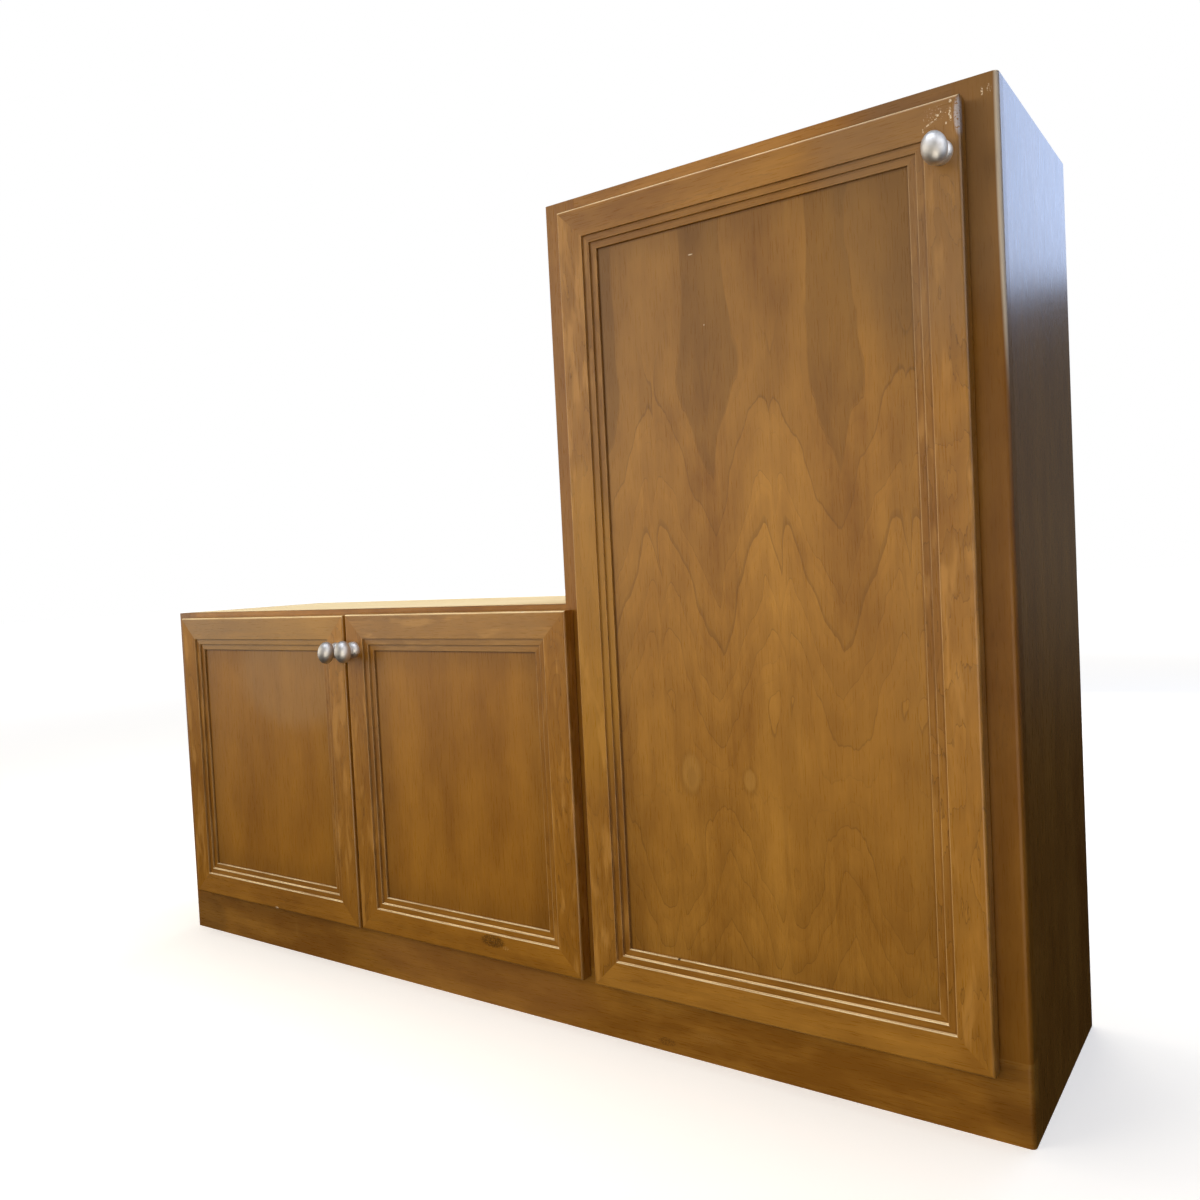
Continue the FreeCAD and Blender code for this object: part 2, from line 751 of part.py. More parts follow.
def main():
    """Build every piece and write one file per node."""
    nodes = {}
    nodes.update(make_face_frame())
    nodes.update(make_case())
    for door in doors:
        nodes.update(make_door(door))
    nodes.update(make_hinges())
    os.makedirs("parts", exist_ok=True)
    for name, shape in sorted(nodes.items()):
        shape.exportStep(os.path.join("parts", name + ".step"))
    print(len(nodes), "nodes")


main()
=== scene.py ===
"""Looks of a stepped face-frame cabinet: a low two-door part beside a tall one-door part.

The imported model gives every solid. This script gives each piece its finish and adds the studio.
Sizes are in millimetres unless a name says otherwise.
"""

import logging
import math
from dataclasses import dataclass, field
from enum import Enum
from functools import partial
from typing import Any, Callable

import bmesh
import bpy
from mathutils import Euler, Matrix, Vector


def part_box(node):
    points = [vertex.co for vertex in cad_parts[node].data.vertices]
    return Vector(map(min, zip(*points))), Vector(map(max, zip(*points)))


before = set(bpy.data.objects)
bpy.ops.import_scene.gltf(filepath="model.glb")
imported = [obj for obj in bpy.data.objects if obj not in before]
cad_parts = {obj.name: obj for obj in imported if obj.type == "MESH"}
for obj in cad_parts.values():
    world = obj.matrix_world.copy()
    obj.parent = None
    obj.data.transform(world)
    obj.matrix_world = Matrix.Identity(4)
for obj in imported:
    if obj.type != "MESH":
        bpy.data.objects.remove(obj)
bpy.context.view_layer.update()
MM = 0.001

log = logging.getLogger("cabinet")

Socket = bpy.types.NodeSocket
Adder = Callable[..., Socket]
Colour = tuple[float, float, float, float]
Point = tuple[float, float, float]

COLOUR_MIX = {"data_type": "RGBA"}
SMOOTH = {"interpolation_type": "SMOOTHSTEP"}
LACQUER_IOR = 1.5
STREAK_GAIN = 1.6      # noise keeps near its middle, so its streaks are spread this much
FACE_EDGE = 0.2        # width over which one face of a board turns into the other
FACE_DEPTH = 5.5       # how far back marks reach on a flat face
MOULDING_DEPTH = 9.5   # and on a member with a stepped moulding


class GrainAxis(Enum):
    """Direction in which the fibres of a board run, as the turn that brings it upright."""

    ALONG_X = (0.0, -math.pi / 2, 0.0)
    ALONG_Z = (0.0, 0.0, 0.0)


class Figure(Enum):
    """Drawing of the growth rings on a face."""

    QUIET = "long straight rings, hardly seen"
    FLAT_SAWN = "islands and long flames"
    PEELED = "zigzag waves of a peeled veneer"


class LampUse(Enum):
    """What a lamp is there for."""

    BOTH = "light and mirror image"
    WASH = "light without a mirror image"
    SHINE = "a card that is only mirrored"


class Side(Enum):
    """Side of its door on which a frame member lies."""

    LEFT = "left_stile"
    RIGHT = "right_stile"
    TOP = "top_rail"
    BOTTOM = "bottom_rail"


def linear(code: str) -> Colour:
    """Turn an sRGB hex colour into the linear one that shaders take.

    Args:
        code: Colour as "#RRGGBB".

    Returns:
        Linear red, green, blue and an alpha of one.
    """
    shares = [int(code[place:place + 2], 16) / 255 for place in (1, 3, 5)]
    red, green, blue = (s / 12.92 if s <= 0.04045 else ((s + 0.055) / 1.055) ** 2.4 for s in shares)
    return red, green, blue, 1.0


def add_node(tree: bpy.types.NodeTree, kind: str, settings: dict[str, Any] | None = None,
             links: dict[int | str, Any] | None = None, out: int | str = 0) -> Socket:
    """Add a node with its settings and links.

    Args:
        tree: Node tree that takes the node.
        kind: Node type without the ShaderNode prefix.
        settings: Properties of the node.
        links: Input by name or number, each with a socket to link or a value to set.
        out: Output to hand back.

    Returns:
        The chosen output socket.
    """
    node = tree.nodes.new("ShaderNode" + kind)
    for name, value in (settings or {}).items():
        setattr(node, name, value)
    for name, value in (links or {}).items():
        if isinstance(value, Socket):
            tree.links.new(value, node.inputs[name])
        else:
            node.inputs[name].default_value = value
    return node.outputs[out] if len(node.outputs) else None


def new_material(name: str) -> tuple[bpy.types.Material, Adder]:
    """Make an empty node material.

    Args:
        name: Name of the material.

    Returns:
        The material, and add_node bound to its tree.
    """
    material = bpy.data.materials.new(name)
    material.use_nodes = True
    material.node_tree.nodes.clear()
    return material, partial(add_node, material.node_tree)


def dress(node: str, material: bpy.types.Material) -> None:
    """Give a carried-over CAD node its finish.

    Args:
        node: Name of the CAD node.
        material: Finish for the whole node.
    """
    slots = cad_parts[node].data.materials
    slots.clear()
    slots.append(material)
    log.info("%s: %s", node, material.name)


@dataclass(frozen=True)
class GrainLayer:
    """One size of streak or cloud in the wood, as wide and long as its two sizes."""

    across: float
    along: float
    detail: float
    strength: float


def board_place(add: Adder, grain: GrainAxis, shift: Vector) -> tuple[Socket, Socket]:
    """Read the place on a board.

    Args:
        add: Node adder of the material.
        grain: Direction of the fibres.
        shift: Where in the noise this board is cut from.

    Returns:
        Position in millimetres, and the same with the fibres upright.
    """
    point = add("TexCoord", out="Object")
    place = add("Mapping", links={"Vector": point, "Scale": (1 / MM,) * 3})
    fibre = add("Mapping", links={"Vector": place, "Rotation": grain.value, "Location": shift})
    return place, fibre


def streaks(add: Adder, fibre: Socket, layers: tuple[GrainLayer, ...], total: float,
            roughness: float) -> tuple[Socket, Socket]:
    """Add up the streaks and clouds of a board.

    Args:
        add: Node adder of the material.
        fibre: Position with the fibres upright.
        layers: Streaks from the widest to the finest.
        total: Shade around which they lie.
        roughness: Share of fine detail in each.

    Returns:
        Shade of the wood, and the finest fibre alone.
    """
    for layer in layers:
        scale = (1 / layer.across, 1 / layer.across, 1 / layer.along)
        spread = add("Mapping", links={"Vector": fibre, "Scale": scale})
        noise = add("TexNoise", links={"Vector": spread, "Scale": 1.0, "Detail": layer.detail,
                                       "Roughness": roughness})
        middle = add("Math", {"operation": "SUBTRACT"}, {0: noise, 1: 0.5})
        total = add("Math", {"operation": "MULTIPLY_ADD"},
                    {0: middle, 1: layer.strength * STREAK_GAIN, 2: total})
    return total, middle


@dataclass(frozen=True)
class Mark:
    """Spot or soft patch where the finish is missing or stained, or where sheen, highlight or shade
    is painted.
    """

    x: float
    z: float
    half_width: float
    half_height: float
    colour: str
    raggedness: float = 0.0
    tilt: float = 0.0
    cover: float = 0.9


@dataclass(frozen=True)
class Moulding:
    """Where a member's stepped edge lies, so that stain, wear and painted highlight can follow its
    lines.
    """

    side: Side
    outer: float
    steps: tuple[float, ...]
    front: float
    arris_wear_and_highlight: float
    step_wear_and_highlight: float

    STEPPED = (8.5, 9.5)   # depth just behind the lowest step
    FACING = (2.2, 3.2)    # depth at which the rounded outer arris ends
    BAND_EDGE = 0.3
    BAND_SHARE = 0.16
    BROKEN = (0.34, 0.54)  # patches of noise in which a rubbed line, partly painted highlight, is whole

    def inward(self) -> tuple[int, float]:
        """Axis number across the member, and the sense in which it runs inwards."""
        axis = 0 if self.side in (Side.LEFT, Side.RIGHT) else 2
        return axis, 1.0 if self.side in (Side.LEFT, Side.BOTTOM) else -1.0


@dataclass(frozen=True)
class EdgeLine:
    """Line along a member, at a distance from its outer edge."""

    middle: float
    half_width: float
    share: float
    tint: str
    evenness: float = 0.0


@dataclass(frozen=True)
class StainedMaple:
    """Maple, planed, wiped with a honey-brown stain and sprayed with a satin lacquer.

    The stain takes unevenly, so the wood looks clouded, with fine dark fibres. It gathers in
    inner corners and is rubbed thin on the arrises. The pale lines on arrises and steps are
    partly painted highlight, and the dark line round a panel is partly painted shade.
    """

    name: str
    grain: GrainAxis
    figure: Figure
    seed: int
    tone: float = 0.0
    clouding: float = 1.0
    ring_strength: float = 0.4
    moulding: Moulding | None = None
    marks: tuple[Mark, ...] = ()
    marks_end: float = 0.0
    inner_face: tuple[int, float, float] | None = None
    bare_below: float | None = None
    # share of the dark stain colour mixed in; on the right face-frame stile it is painted shade
    deep: float = 0.0
    glaze: str = "#FFFFFF"
    rim: float = 0.0
    specular: float = 0.45
    corner_box: tuple[float, float, float, float] | None = None

    LIGHT = "#B98536"
    DARK = "#875819"
    RING = "#583A10"
    FLASH = "#CF9A4E"
    WORN_AND_HIGHLIGHT = "#F2DDB2"
    RUBBED_AND_HIGHLIGHT = "#DDB983"
    GATHERED_AND_SHADE = "#3C1700"
    LAMINATE = "#D3B585"
    LAYERS = (
        GrainLayer(across=75, along=420, detail=2, strength=0.9),
        GrainLayer(across=26, along=55, detail=3, strength=0.55),
        GrainLayer(across=4.5, along=210, detail=2, strength=0.3),
        GrainLayer(across=1.3, along=22, detail=2, strength=0.17),
    )
    SEED_STEP = (173.0, 61.0, 911.0)
    ROUGHNESS = 0.29
    UNEVEN_GLOSS = 0.07
    RELIEF_STRENGTH = 0.12
    RELIEF_DEPTH = 0.12
    MARK_FADE = 2.5
    MARK_CORE = 0.6              # share of a mark's size that it fills evenly
    FLAKE = 0.7                  # flakes of lacquer per millimetre, coarse enough to show
    FLAKE_EDGE = 0.03
    ISLAND = (15, 75)            # width and length of a bright island
    ISLAND_RANGE = (0.52, 0.68)
    ISLAND_SHARE = 0.4
    SAWN_RING = (34.0, 125.0)    # width and length over which flat-sawn rings wander
    QUIET_RING = (60.0, 900.0)
    SAWN_TOOTH = (4, 26)         # and their small teeth
    SAWN_RAGGED = 9.0
    SAWN_SWING = 100.0
    SAWN_SPACINGS = ((14.0, 1.0), (4.7, 0.25))       # distance of the rings, and their strength
    PEELED_SPACINGS = ((61.0, 1.0), (20.33, 0.5))
    RING_SHARP, RING_SOFT, RING_RISE = 0.05, 0.6, 0.985
    RING_SOFT_SHARE = 0.28
    WAVE_FADE = (770.0, 840.0)   # height at which the waves end
    TONGUE = (672.0, 680.0)      # wave above which the veneer is darker
    DARKER_TOP = (640.0, 880.0)        # height over which it darkens to the top
    PAINTED_FOOT_SHADE = (420.0, 180.0)        # and, as painted shade, to the bottom
    WAVE_VALLEY = 361.7          # place of one valley across the front
    WAVE_HALF_PERIOD = 71.65
    WAVE_SWAY = (55, 170)        # width and length over which the waves wander
    WAVE_TOOTH = (9, 60)
    WAVE_UPPER = (640.0, 800.0)  # height over which the crests grow broad
    WAVE_TURN = (230.0, 430.0)   # height over which the waves turn over
    WAVE_SWING = (-150.0, 165.0)
    WAVE_STEEP = (750.0, 990.0)  # height over which they stretch by the next value
    WAVE_STRETCH = 330.0
    WAVE_WOBBLE = 50.0
    WAVE_RAGGED = 16.0
    WAVE_UNEVEN = 60.0
    CORNER_LINE = (0.8, 3.4)     # dark line where a panel meets the moulding: stain with painted shade
    RIM_WIDTH = 42.0

    def material(self) -> bpy.types.Material:
        """Build the finish as a node material.

        Returns:
            The material, ready for a piece.
        """
        material, add = new_material(self.name)
        place, fibre = board_place(add, self.grain, Vector(self.SEED_STEP) * self.seed)
        x, y, z = (add("SeparateXYZ", links={0: place}, out=axis) for axis in range(3))
        cloud, streak = streaks(add, fibre, self.LAYERS, 0.0, 0.55)
        ring = self.rings(add, fibre, x, z)
        shade = add("Math", {"operation": "MULTIPLY_ADD"},
                    {0: cloud, 1: self.clouding, 2: 0.5 + self.tone})
        colour = add("Mix", COLOUR_MIX,
                     {0: shade, 6: linear(self.DARK), 7: linear(self.LIGHT)}, out=2)
        colour = add("Mix", COLOUR_MIX, {0: self.deep, 6: colour, 7: linear(self.GATHERED_AND_SHADE)}, out=2)
        colour = add("Mix", {"data_type": "RGBA", "blend_type": "MULTIPLY"},
                     {0: 1.0, 6: colour, 7: linear(self.glaze)}, out=2)
        ring_share = add("Math", {"operation": "MULTIPLY"}, {0: ring, 1: self.ring_strength})
        colour = add("Mix", COLOUR_MIX, {0: ring_share, 6: colour, 7: linear(self.RING)}, out=2)
        if self.figure is Figure.FLAT_SAWN:
            colour = self.flashes(add, colour, fibre)
        if self.moulding:
            colour = self.edge_lines(add, colour, (x, y, z), fibre)
        if self.corner_box:
            colour = self.panel_edge_stain_and_shade(add, colour, x, z)
        if self.marks:
            shallow = add("MapRange", links={0: y, 1: self.marks_end - self.MARK_FADE,
                                             2: self.marks_end, 3: 1.0, 4: 0.0})
            for mark in self.marks:
                colour = self.spot(add, colour, mark, (x, z), place, shallow)
        if self.inner_face:
            axis, bound, sense = self.inner_face
            inside = add("MapRange", links={0: (x, y, z)[axis], 1: bound,
                                            2: bound + FACE_EDGE * sense})
            if self.bare_below is not None:
                low = add("MapRange", links={0: z, 1: self.bare_below,
                                             2: self.bare_below - FACE_EDGE})
                inside = add("Math", {"operation": "MAXIMUM"}, {0: inside, 1: low})
            colour = add("Mix", COLOUR_MIX, {0: inside, 6: colour, 7: linear(self.LAMINATE)}, out=2)
        gloss = add("MapRange", links={0: streak, 1: -0.5, 2: 0.5,
                                       3: self.ROUGHNESS - self.UNEVEN_GLOSS,
                                       4: self.ROUGHNESS + self.UNEVEN_GLOSS})
        relief = add("Bump", links={"Strength": self.RELIEF_STRENGTH, "Height": streak,
                                    "Distance": self.RELIEF_DEPTH * MM}, out="Normal")
        surface = add("BsdfPrincipled", links={
            "Base Color": colour, "Roughness": gloss, "Normal": relief,
            "Specular IOR Level": self.specular, "IOR": LACQUER_IOR})
        add("OutputMaterial", links={"Surface": surface})
        return material

    def flashes(self, add: Adder, colour: Socket, fibre: Socket) -> Socket:
        """Brighten the long islands where the fibres dip into the face.

        Args:
            add: Node adder of the material.
            colour: Wood colour so far.
            fibre: Position with the fibres upright.

        Returns:
            Wood colour with the bright islands.
        """
        wide, long = self.ISLAND
        spread = add("Mapping", links={"Vector": fibre, "Scale": (1 / wide, 1 / wide, 1 / long)})
        island = add("TexNoise", links={"Vector": spread, "Scale": 1.0, "Detail": 2.0,
                                        "Distortion": 0.4})
        start, full = self.ISLAND_RANGE
        mask = add("MapRange", SMOOTH, {0: island, 1: start, 2: full, 3: 0.0, 4: self.ISLAND_SHARE})
        return add("Mix", COLOUR_MIX, {0: mask, 6: colour, 7: linear(self.FLASH)}, out=2)

    def rings(self, add: Adder, fibre: Socket, x: Socket, z: Socket) -> Socket:
        """Draw the growth rings as lines that darken slowly and end sharply.

        Args:
            add: Node adder of the material.
            fibre: Position with the fibres upright.
            x: Place across the front.
            z: Height.

        Returns:
            Strength of the ring line, from zero to one.
        """
        fade: Socket | float = 1.0
        veneer_dark_and_shade: Socket | float = 0.0
        if self.figure is Figure.PEELED:
            height = self.peeled_height(add, fibre, x, z)
            spacings = self.PEELED_SPACINGS
            start, end = self.WAVE_FADE
            fade = add("MapRange", links={0: z, 1: start, 2: end, 3: 1.0, 4: 0.1})
            # The darker tongue of the veneer, a darkening to the top, and painted shade to the bottom
            for value, (start, end), share in ((height, self.TONGUE, 0.5), (z, self.DARKER_TOP, 0.6),
                                               (z, self.PAINTED_FOOT_SHADE, 0.3)):
                shade = add("MapRange", SMOOTH, {0: value, 1: start, 2: end, 3: 0.0, 4: share})
                veneer_dark_and_shade = add("Math", {"operation": "ADD"}, {0: veneer_dark_and_shade, 1: shade})
        else:
            sawn = self.figure is Figure.FLAT_SAWN
            wide, long = self.SAWN_RING if sawn else self.QUIET_RING
            spread = add("Mapping", links={"Vector": fibre,
                                           "Scale": (1 / wide, 1 / wide, 1 / long)})
            noise = add("TexNoise", links={"Vector": spread, "Scale": 1.0, "Detail": 1.0,
                                           "Roughness": 0.4, "Distortion": 0.5})
            wide, long = self.SAWN_TOOTH
            tooth = add("Mapping", links={"Vector": fibre, "Scale": (1 / wide, 1 / wide, 1 / long)})
            ragged = add("TexNoise", links={"Vector": tooth, "Scale": 1.0, "Detail": 2.0})
            ragged = add("Math", {"operation": "MULTIPLY"}, {0: ragged, 1: self.SAWN_RAGGED})
            height = add("Math", {"operation": "MULTIPLY_ADD"},
                         {0: noise, 1: self.SAWN_SWING, 2: ragged})
            spacings = self.SAWN_SPACINGS
        line: Socket | float = 0.0
        for spacing, strength in spacings:
            count = add("Math", {"operation": "DIVIDE"}, {0: height, 1: spacing})
            share = add("Math", {"operation": "FRACT"}, {0: count})
            sharp = add("MapRange", SMOOTH,
                        {0: share, 1: 0.0, 2: self.RING_SHARP, 3: strength, 4: 0.0})
            soft = add("MapRange", SMOOTH,
                       {0: share, 1: 0.0, 2: self.RING_SOFT, 3: self.RING_SOFT_SHARE * strength,
                        4: 0.0})
            rise = add("MapRange", SMOOTH,
                       {0: share, 1: self.RING_RISE, 2: 1.0, 3: 0.0, 4: strength})
            both = add("Math", {"operation": "MAXIMUM"}, {0: sharp, 1: soft})
            both = add("Math", {"operation": "MAXIMUM"}, {0: both, 1: rise})
            line = add("Math", {"operation": "MAXIMUM"}, {0: both, 1: line})
        return add("Math", {"operation": "MULTIPLY_ADD"}, {0: line, 1: fade, 2: veneer_dark_and_shade})

    def peeled_height(self, add: Adder, fibre: Socket, x: Socket, z: Socket) -> Socket:
        """Height field whose level lines are the waves of a peeled veneer.

        Args:
            add: Node adder of the material.
            fibre: Position with the fibres upright.
            x: Place across the front.
            z: Height.

        Returns:
            Height in millimetres.
        """
        half_period, wobble_size = self.WAVE_HALF_PERIOD, self.WAVE_WOBBLE
        wide, long = self.WAVE_SWAY
        spread = add("Mapping", links={"Vector": fibre, "Scale": (1 / wide, 1 / wide, 1 / long)})
        wobble = add("TexNoise", links={"Vector": spread, "Scale": 1.0, "Detail": 2.0}, out=1)
        sway = add("SeparateXYZ", links={0: wobble}, out=0)
        heave = add("SeparateXYZ", links={0: wobble}, out=1)
        across = add("Math", {"operation": "MULTIPLY_ADD"}, {0: sway, 1: wobble_size, 2: x})
        across = add("Math", {"operation": "SUBTRACT"},
                     {0: across, 1: self.WAVE_VALLEY + wobble_size / 2})
        # A zigzag, half rounded, with a cleft in each crest
        ramp = add("Math", {"operation": "PINGPONG"}, {0: across, 1: half_period})
        ramp = add("Math", {"operation": "DIVIDE"}, {0: ramp, 1: half_period})
        round_ramp = add("MapRange", SMOOTH, {0: ramp})
        ridge = add("Math", {"operation": "MULTIPLY"}, {0: round_ramp, 1: 0.3})
        ridge = add("Math", {"operation": "MULTIPLY_ADD"}, {0: ramp, 1: 0.7, 2: ridge})
        cleft = add("Math", {"operation": "POWER"}, {0: ridge, 1: 16.0})
        ridge = add("Math", {"operation": "MULTIPLY_ADD"}, {0: cleft, 1: -0.5, 2: ridge})
        shoulder = add("Math", {"operation": "POWER"}, {0: ramp, 1: 0.55})
        start, end = self.WAVE_UPPER
        upper = add("MapRange", links={0: z, 1: start, 2: end})
        ridge = add("Mix", {}, {0: upper, 2: ridge, 3: shoulder})
        (start, end), (below, above) = self.WAVE_TURN, self.WAVE_SWING
        swing = add("MapRange", links={0: z, 1: start, 2: end, 3: below, 4: above})
        start, end = self.WAVE_STEEP
        steep = add("MapRange", SMOOTH, {0: z, 1: start, 2: end, 3: 0.0, 4: self.WAVE_STRETCH})
        swing = add("Math", {"operation": "ADD"}, {0: swing, 1: steep})
        fallen = add("Math", {"operation": "MULTIPLY"}, {0: swing, 1: ridge})
        height = add("Math", {"operation": "SUBTRACT"}, {0: z, 1: fallen})
        height = add("Math", {"operation": "MULTIPLY_ADD"}, {0: heave, 1: wobble_size, 2: height})
        height = add("Math", {"operation": "SUBTRACT"}, {0: height, 1: wobble_size / 2})
        wide, long = self.WAVE_TOOTH
        fine = add("Mapping", links={"Vector": fibre, "Scale": (1 / wide, 1 / wide, 1 / long)})
        ragged = add("TexNoise", links={"Vector": fine, "Scale": 1.0, "Detail": 2.0})
        ragged = add("Math", {"operation": "SUBTRACT"}, {0: ragged, 1: 0.5})
        height = add("Math", {"operation": "MULTIPLY_ADD"},
                     {0: ragged, 1: self.WAVE_RAGGED, 2: height})
        uneven = add("TexNoise", {"noise_dimensions": "1D"}, {"W": height, "Scale": 1 / 70})
        height = add("Math", {"operation": "MULTIPLY_ADD"},
                     {0: uneven, 1: self.WAVE_UNEVEN, 2: height})
        return add("Math", {"operation": "SUBTRACT"}, {0: height, 1: self.WAVE_UNEVEN / 2})

    def edge_lines(self, add: Adder, colour: Socket, place: tuple[Socket, Socket, Socket],
                   fibre: Socket) -> Socket:
        """Gather stain in the moulding's corners and rub its arrises, partly as painted highlight.

        Args:
            add: Node adder of the material.
            colour: Wood colour so far.
            place: Position on the three axes.
            fibre: Position with the fibres upright.

        Returns:
            Wood colour with the lines in it.
        """
        moulding = self.moulding
        axis, sense = moulding.inward()
        inset = add("Math", {"operation": "MULTIPLY_ADD"},
                    {0: place[axis], 1: sense, 2: -sense * moulding.outer})
        front, facing = (
            add("MapRange", links={0: place[1], 1: moulding.front + start, 2: moulding.front + end,
                                   3: 1.0, 4: 0.0})
            for start, end in (moulding.STEPPED, moulding.FACING))
        spread = add("Mapping", links={"Vector": fibre, "Scale": (1 / 3, 1 / 3, 1 / 70)})
        patch = add("TexNoise", links={"Vector": spread, "Scale": 1.0, "Detail": 3.0})
        band = add("MapRange", links={0: inset, 1: moulding.steps[0] - moulding.BAND_EDGE,
                                      2: moulding.steps[0] + moulding.BAND_EDGE,
                                      3: 0.0, 4: moulding.BAND_SHARE})
        band = add("Math", {"operation": "MULTIPLY"}, {0: band, 1: front})
        colour = add("Mix", COLOUR_MIX, {0: band, 6: colour, 7: linear(self.GATHERED_AND_SHADE)}, out=2)
        lines = [EdgeLine(middle=step + 1.1, half_width=1.7, share=0.26, tint=self.GATHERED_AND_SHADE,
                          evenness=1.0) for step in moulding.steps]
        # Pale lines on the steps and the arris: rubbed wear, partly painted highlight
        bare_and_highlight = self.RUBBED_AND_HIGHLIGHT if moulding.side in (Side.LEFT, Side.RIGHT) else self.WORN_AND_HIGHLIGHT
        lines += [EdgeLine(middle=step - 0.2, half_width=1.1, share=moulding.step_wear_and_highlight, tint=bare_and_highlight)
                  for step in moulding.steps]
        lines.append(EdgeLine(middle=0.8, half_width=1.3, share=moulding.arris_wear_and_highlight,
                              tint=self.WORN_AND_HIGHLIGHT))
        start, whole = moulding.BROKEN
        for line in lines:
            off = add("Math", {"operation": "SUBTRACT"}, {0: inset, 1: line.middle})
            off = add("Math", {"operation": "ABSOLUTE"}, {0: off})
            mask = add("MapRange", SMOOTH,
                       {0: off, 1: 0.4 * line.half_width, 2: line.half_width, 3: line.share, 4: 0.0})
            broken = add("MapRange", links={0: patch, 1: start, 2: whole, 4: 1.0,
                                            3: max(line.evenness, 0.5 * line.share)})
            mask = add("Math", {"operation": "MULTIPLY"}, {0: mask, 1: broken})
            bound = facing if line.middle < moulding.steps[0] / 2 else front
            mask = add("Math", {"operation": "MULTIPLY"}, {0: mask, 1: bound})
            colour = add("Mix", COLOUR_MIX, {0: mask, 6: colour, 7: linear(line.tint)}, out=2)
        return colour

    def panel_edge_stain_and_shade(self, add: Adder, colour: Socket, x: Socket, z: Socket) -> Socket:
        """Darken a panel where it meets the moulding around it: gathered stain with painted shade,
        strongest on the left and top.

        Args:
            add: Node adder of the material.
            colour: Wood colour so far.
            x: Place across the front.
            z: Height.

        Returns:
            Wood colour with a darker rim.
        """
        left, right, bottom, top = self.corner_box
        start, end = self.CORNER_LINE
        for value, bound, sense, share in ((x, left, 1, 0.55), (x, right, -1, 0.35),
                                           (z, bottom, 1, 0.3), (z, top, -1, 0.5)):
            mask = add("MapRange", SMOOTH,
                       {0: value, 1: bound + start * sense, 2: bound + end * sense, 3: share, 4: 0.0})
            colour = add("Mix", COLOUR_MIX, {0: mask, 6: colour, 7: linear(self.GATHERED_AND_SHADE)}, out=2)
            wide = add("MapRange", SMOOTH,
                       {0: value, 1: bound, 2: bound + self.RIM_WIDTH * sense, 3: self.rim, 4: 0.0})
            colour = add("Mix", COLOUR_MIX, {0: wide, 6: colour, 7: linear(self.RING)}, out=2)
        return colour

    def spot(self, add: Adder, colour: Socket, mark: Mark, face: tuple[Socket, Socket],
             place: Socket, shallow: Socket) -> Socket:
        """Lay one mark over the wood.

        Args:
            add: Node adder of the material.
            colour: Wood colour so far.
            mark: Place, size and colour of the mark.
            face: Place across the front, and height.
            place: Position in millimetres.
            shallow: One at the front face, none behind it.

        Returns:
            Wood colour with the mark.
        """
        flat = add("CombineXYZ", links={0: face[0], 2: face[1]})
        about = add("VectorRotate", {"rotation_type": "Y_AXIS"},
                    {"Vector": flat, "Center": (mark.x, 0.0, mark.z), "Angle": mark.tilt})
        scaled = add("Mapping", {"vector_type": "TEXTURE"}, {
            "Vector": about, "Location": (mark.x, 0.0, mark.z),
            "Scale": (mark.half_width, 1.0, mark.half_height)})
        apart = add("VectorMath", {"operation": "LENGTH"}, {0: scaled}, out="Value")
        mask = add("MapRange", SMOOTH, {0: apart, 1: self.MARK_CORE, 2: 1.0, 3: mark.cover, 4: 0.0})
        if mark.raggedness:
            flake = add("TexNoise", links={"Vector": place, "Scale": self.FLAKE, "Detail": 3.0})
            torn = add("MapRange", links={0: flake, 1: mark.raggedness,
                                          2: mark.raggedness + self.FLAKE_EDGE})
            mask = add("Math", {"operation": "MULTIPLY"}, {0: mask, 1: torn})
        mask = add("Math", {"operation": "MULTIPLY"}, {0: mask, 1: shallow})
        return add("Mix", COLOUR_MIX, {0: mask, 6: colour, 7: linear(mark.colour)}, out=2)


@dataclass(frozen=True)
class PaleBoard:
    """Board with a pale wood face: raw maple on the tops, printed laminate inside and on backs."""

    name: str
    grain: GrainAxis
    seed: int
    light: str
    dark: str
    roughness: float
    rear: tuple[float, str] | None = None

    LAYERS = (
        GrainLayer(across=60, along=500, detail=2, strength=0.7),
        GrainLayer(across=6, along=240, detail=2, strength=0.7),
        GrainLayer(across=1.6, along=45, detail=2, strength=0.5),
    )
    SEED_STEP = (131.0, 47.0, 523.0)
    UNEVEN_GLOSS = 0.08
    RELIEF_STRENGTH = 0.3
    RELIEF_DEPTH = 0.1
    SPECULAR = 0.3
    FLECK = 0.35   # flecks per millimetre on the rough back of a hardboard

    def material(self) -> bpy.types.Material:
        """Build the finish as a node material.

        Returns:
            The material, ready for a piece.
        """
        material, add = new_material(self.name)
        place, fibre = board_place(add, self.grain, Vector(self.SEED_STEP) * self.seed)
        shade, streak = streaks(add, fibre, self.LAYERS, 0.5, 0.5)
        colour = add("Mix", COLOUR_MIX,
                     {0: shade, 6: linear(self.dark), 7: linear(self.light)}, out=2)
        if self.rear:
            bound, tint = self.rear
            depth = add("SeparateXYZ", links={0: place}, out=1)
            behind = add("MapRange", links={0: depth, 1: bound, 2: bound + FACE_EDGE})
            fleck = add("TexNoise", links={"Vector": place, "Scale": self.FLECK, "Detail": 4.0})
            board = add("Mix", COLOUR_MIX, {0: fleck, 6: linear(self.dark), 7: linear(tint)}, out=2)
            colour = add("Mix", COLOUR_MIX, {0: behind, 6: colour, 7: board}, out=2)
        gloss = add("MapRange", links={0: streak, 1: -0.5, 2: 0.5,
                                       3: self.roughness - self.UNEVEN_GLOSS,
                                       4: self.roughness + self.UNEVEN_GLOSS})
        relief = add("Bump", links={"Strength": self.RELIEF_STRENGTH, "Height": streak,
                                    "Distance": self.RELIEF_DEPTH * MM}, out="Normal")
        surface = add("BsdfPrincipled", links={
            "Base Color": colour, "Roughness": gloss, "Normal": relief, "IOR": LACQUER_IOR,
            "Specular IOR Level": self.SPECULAR})
        add("OutputMaterial", links={"Surface": surface})
        return material


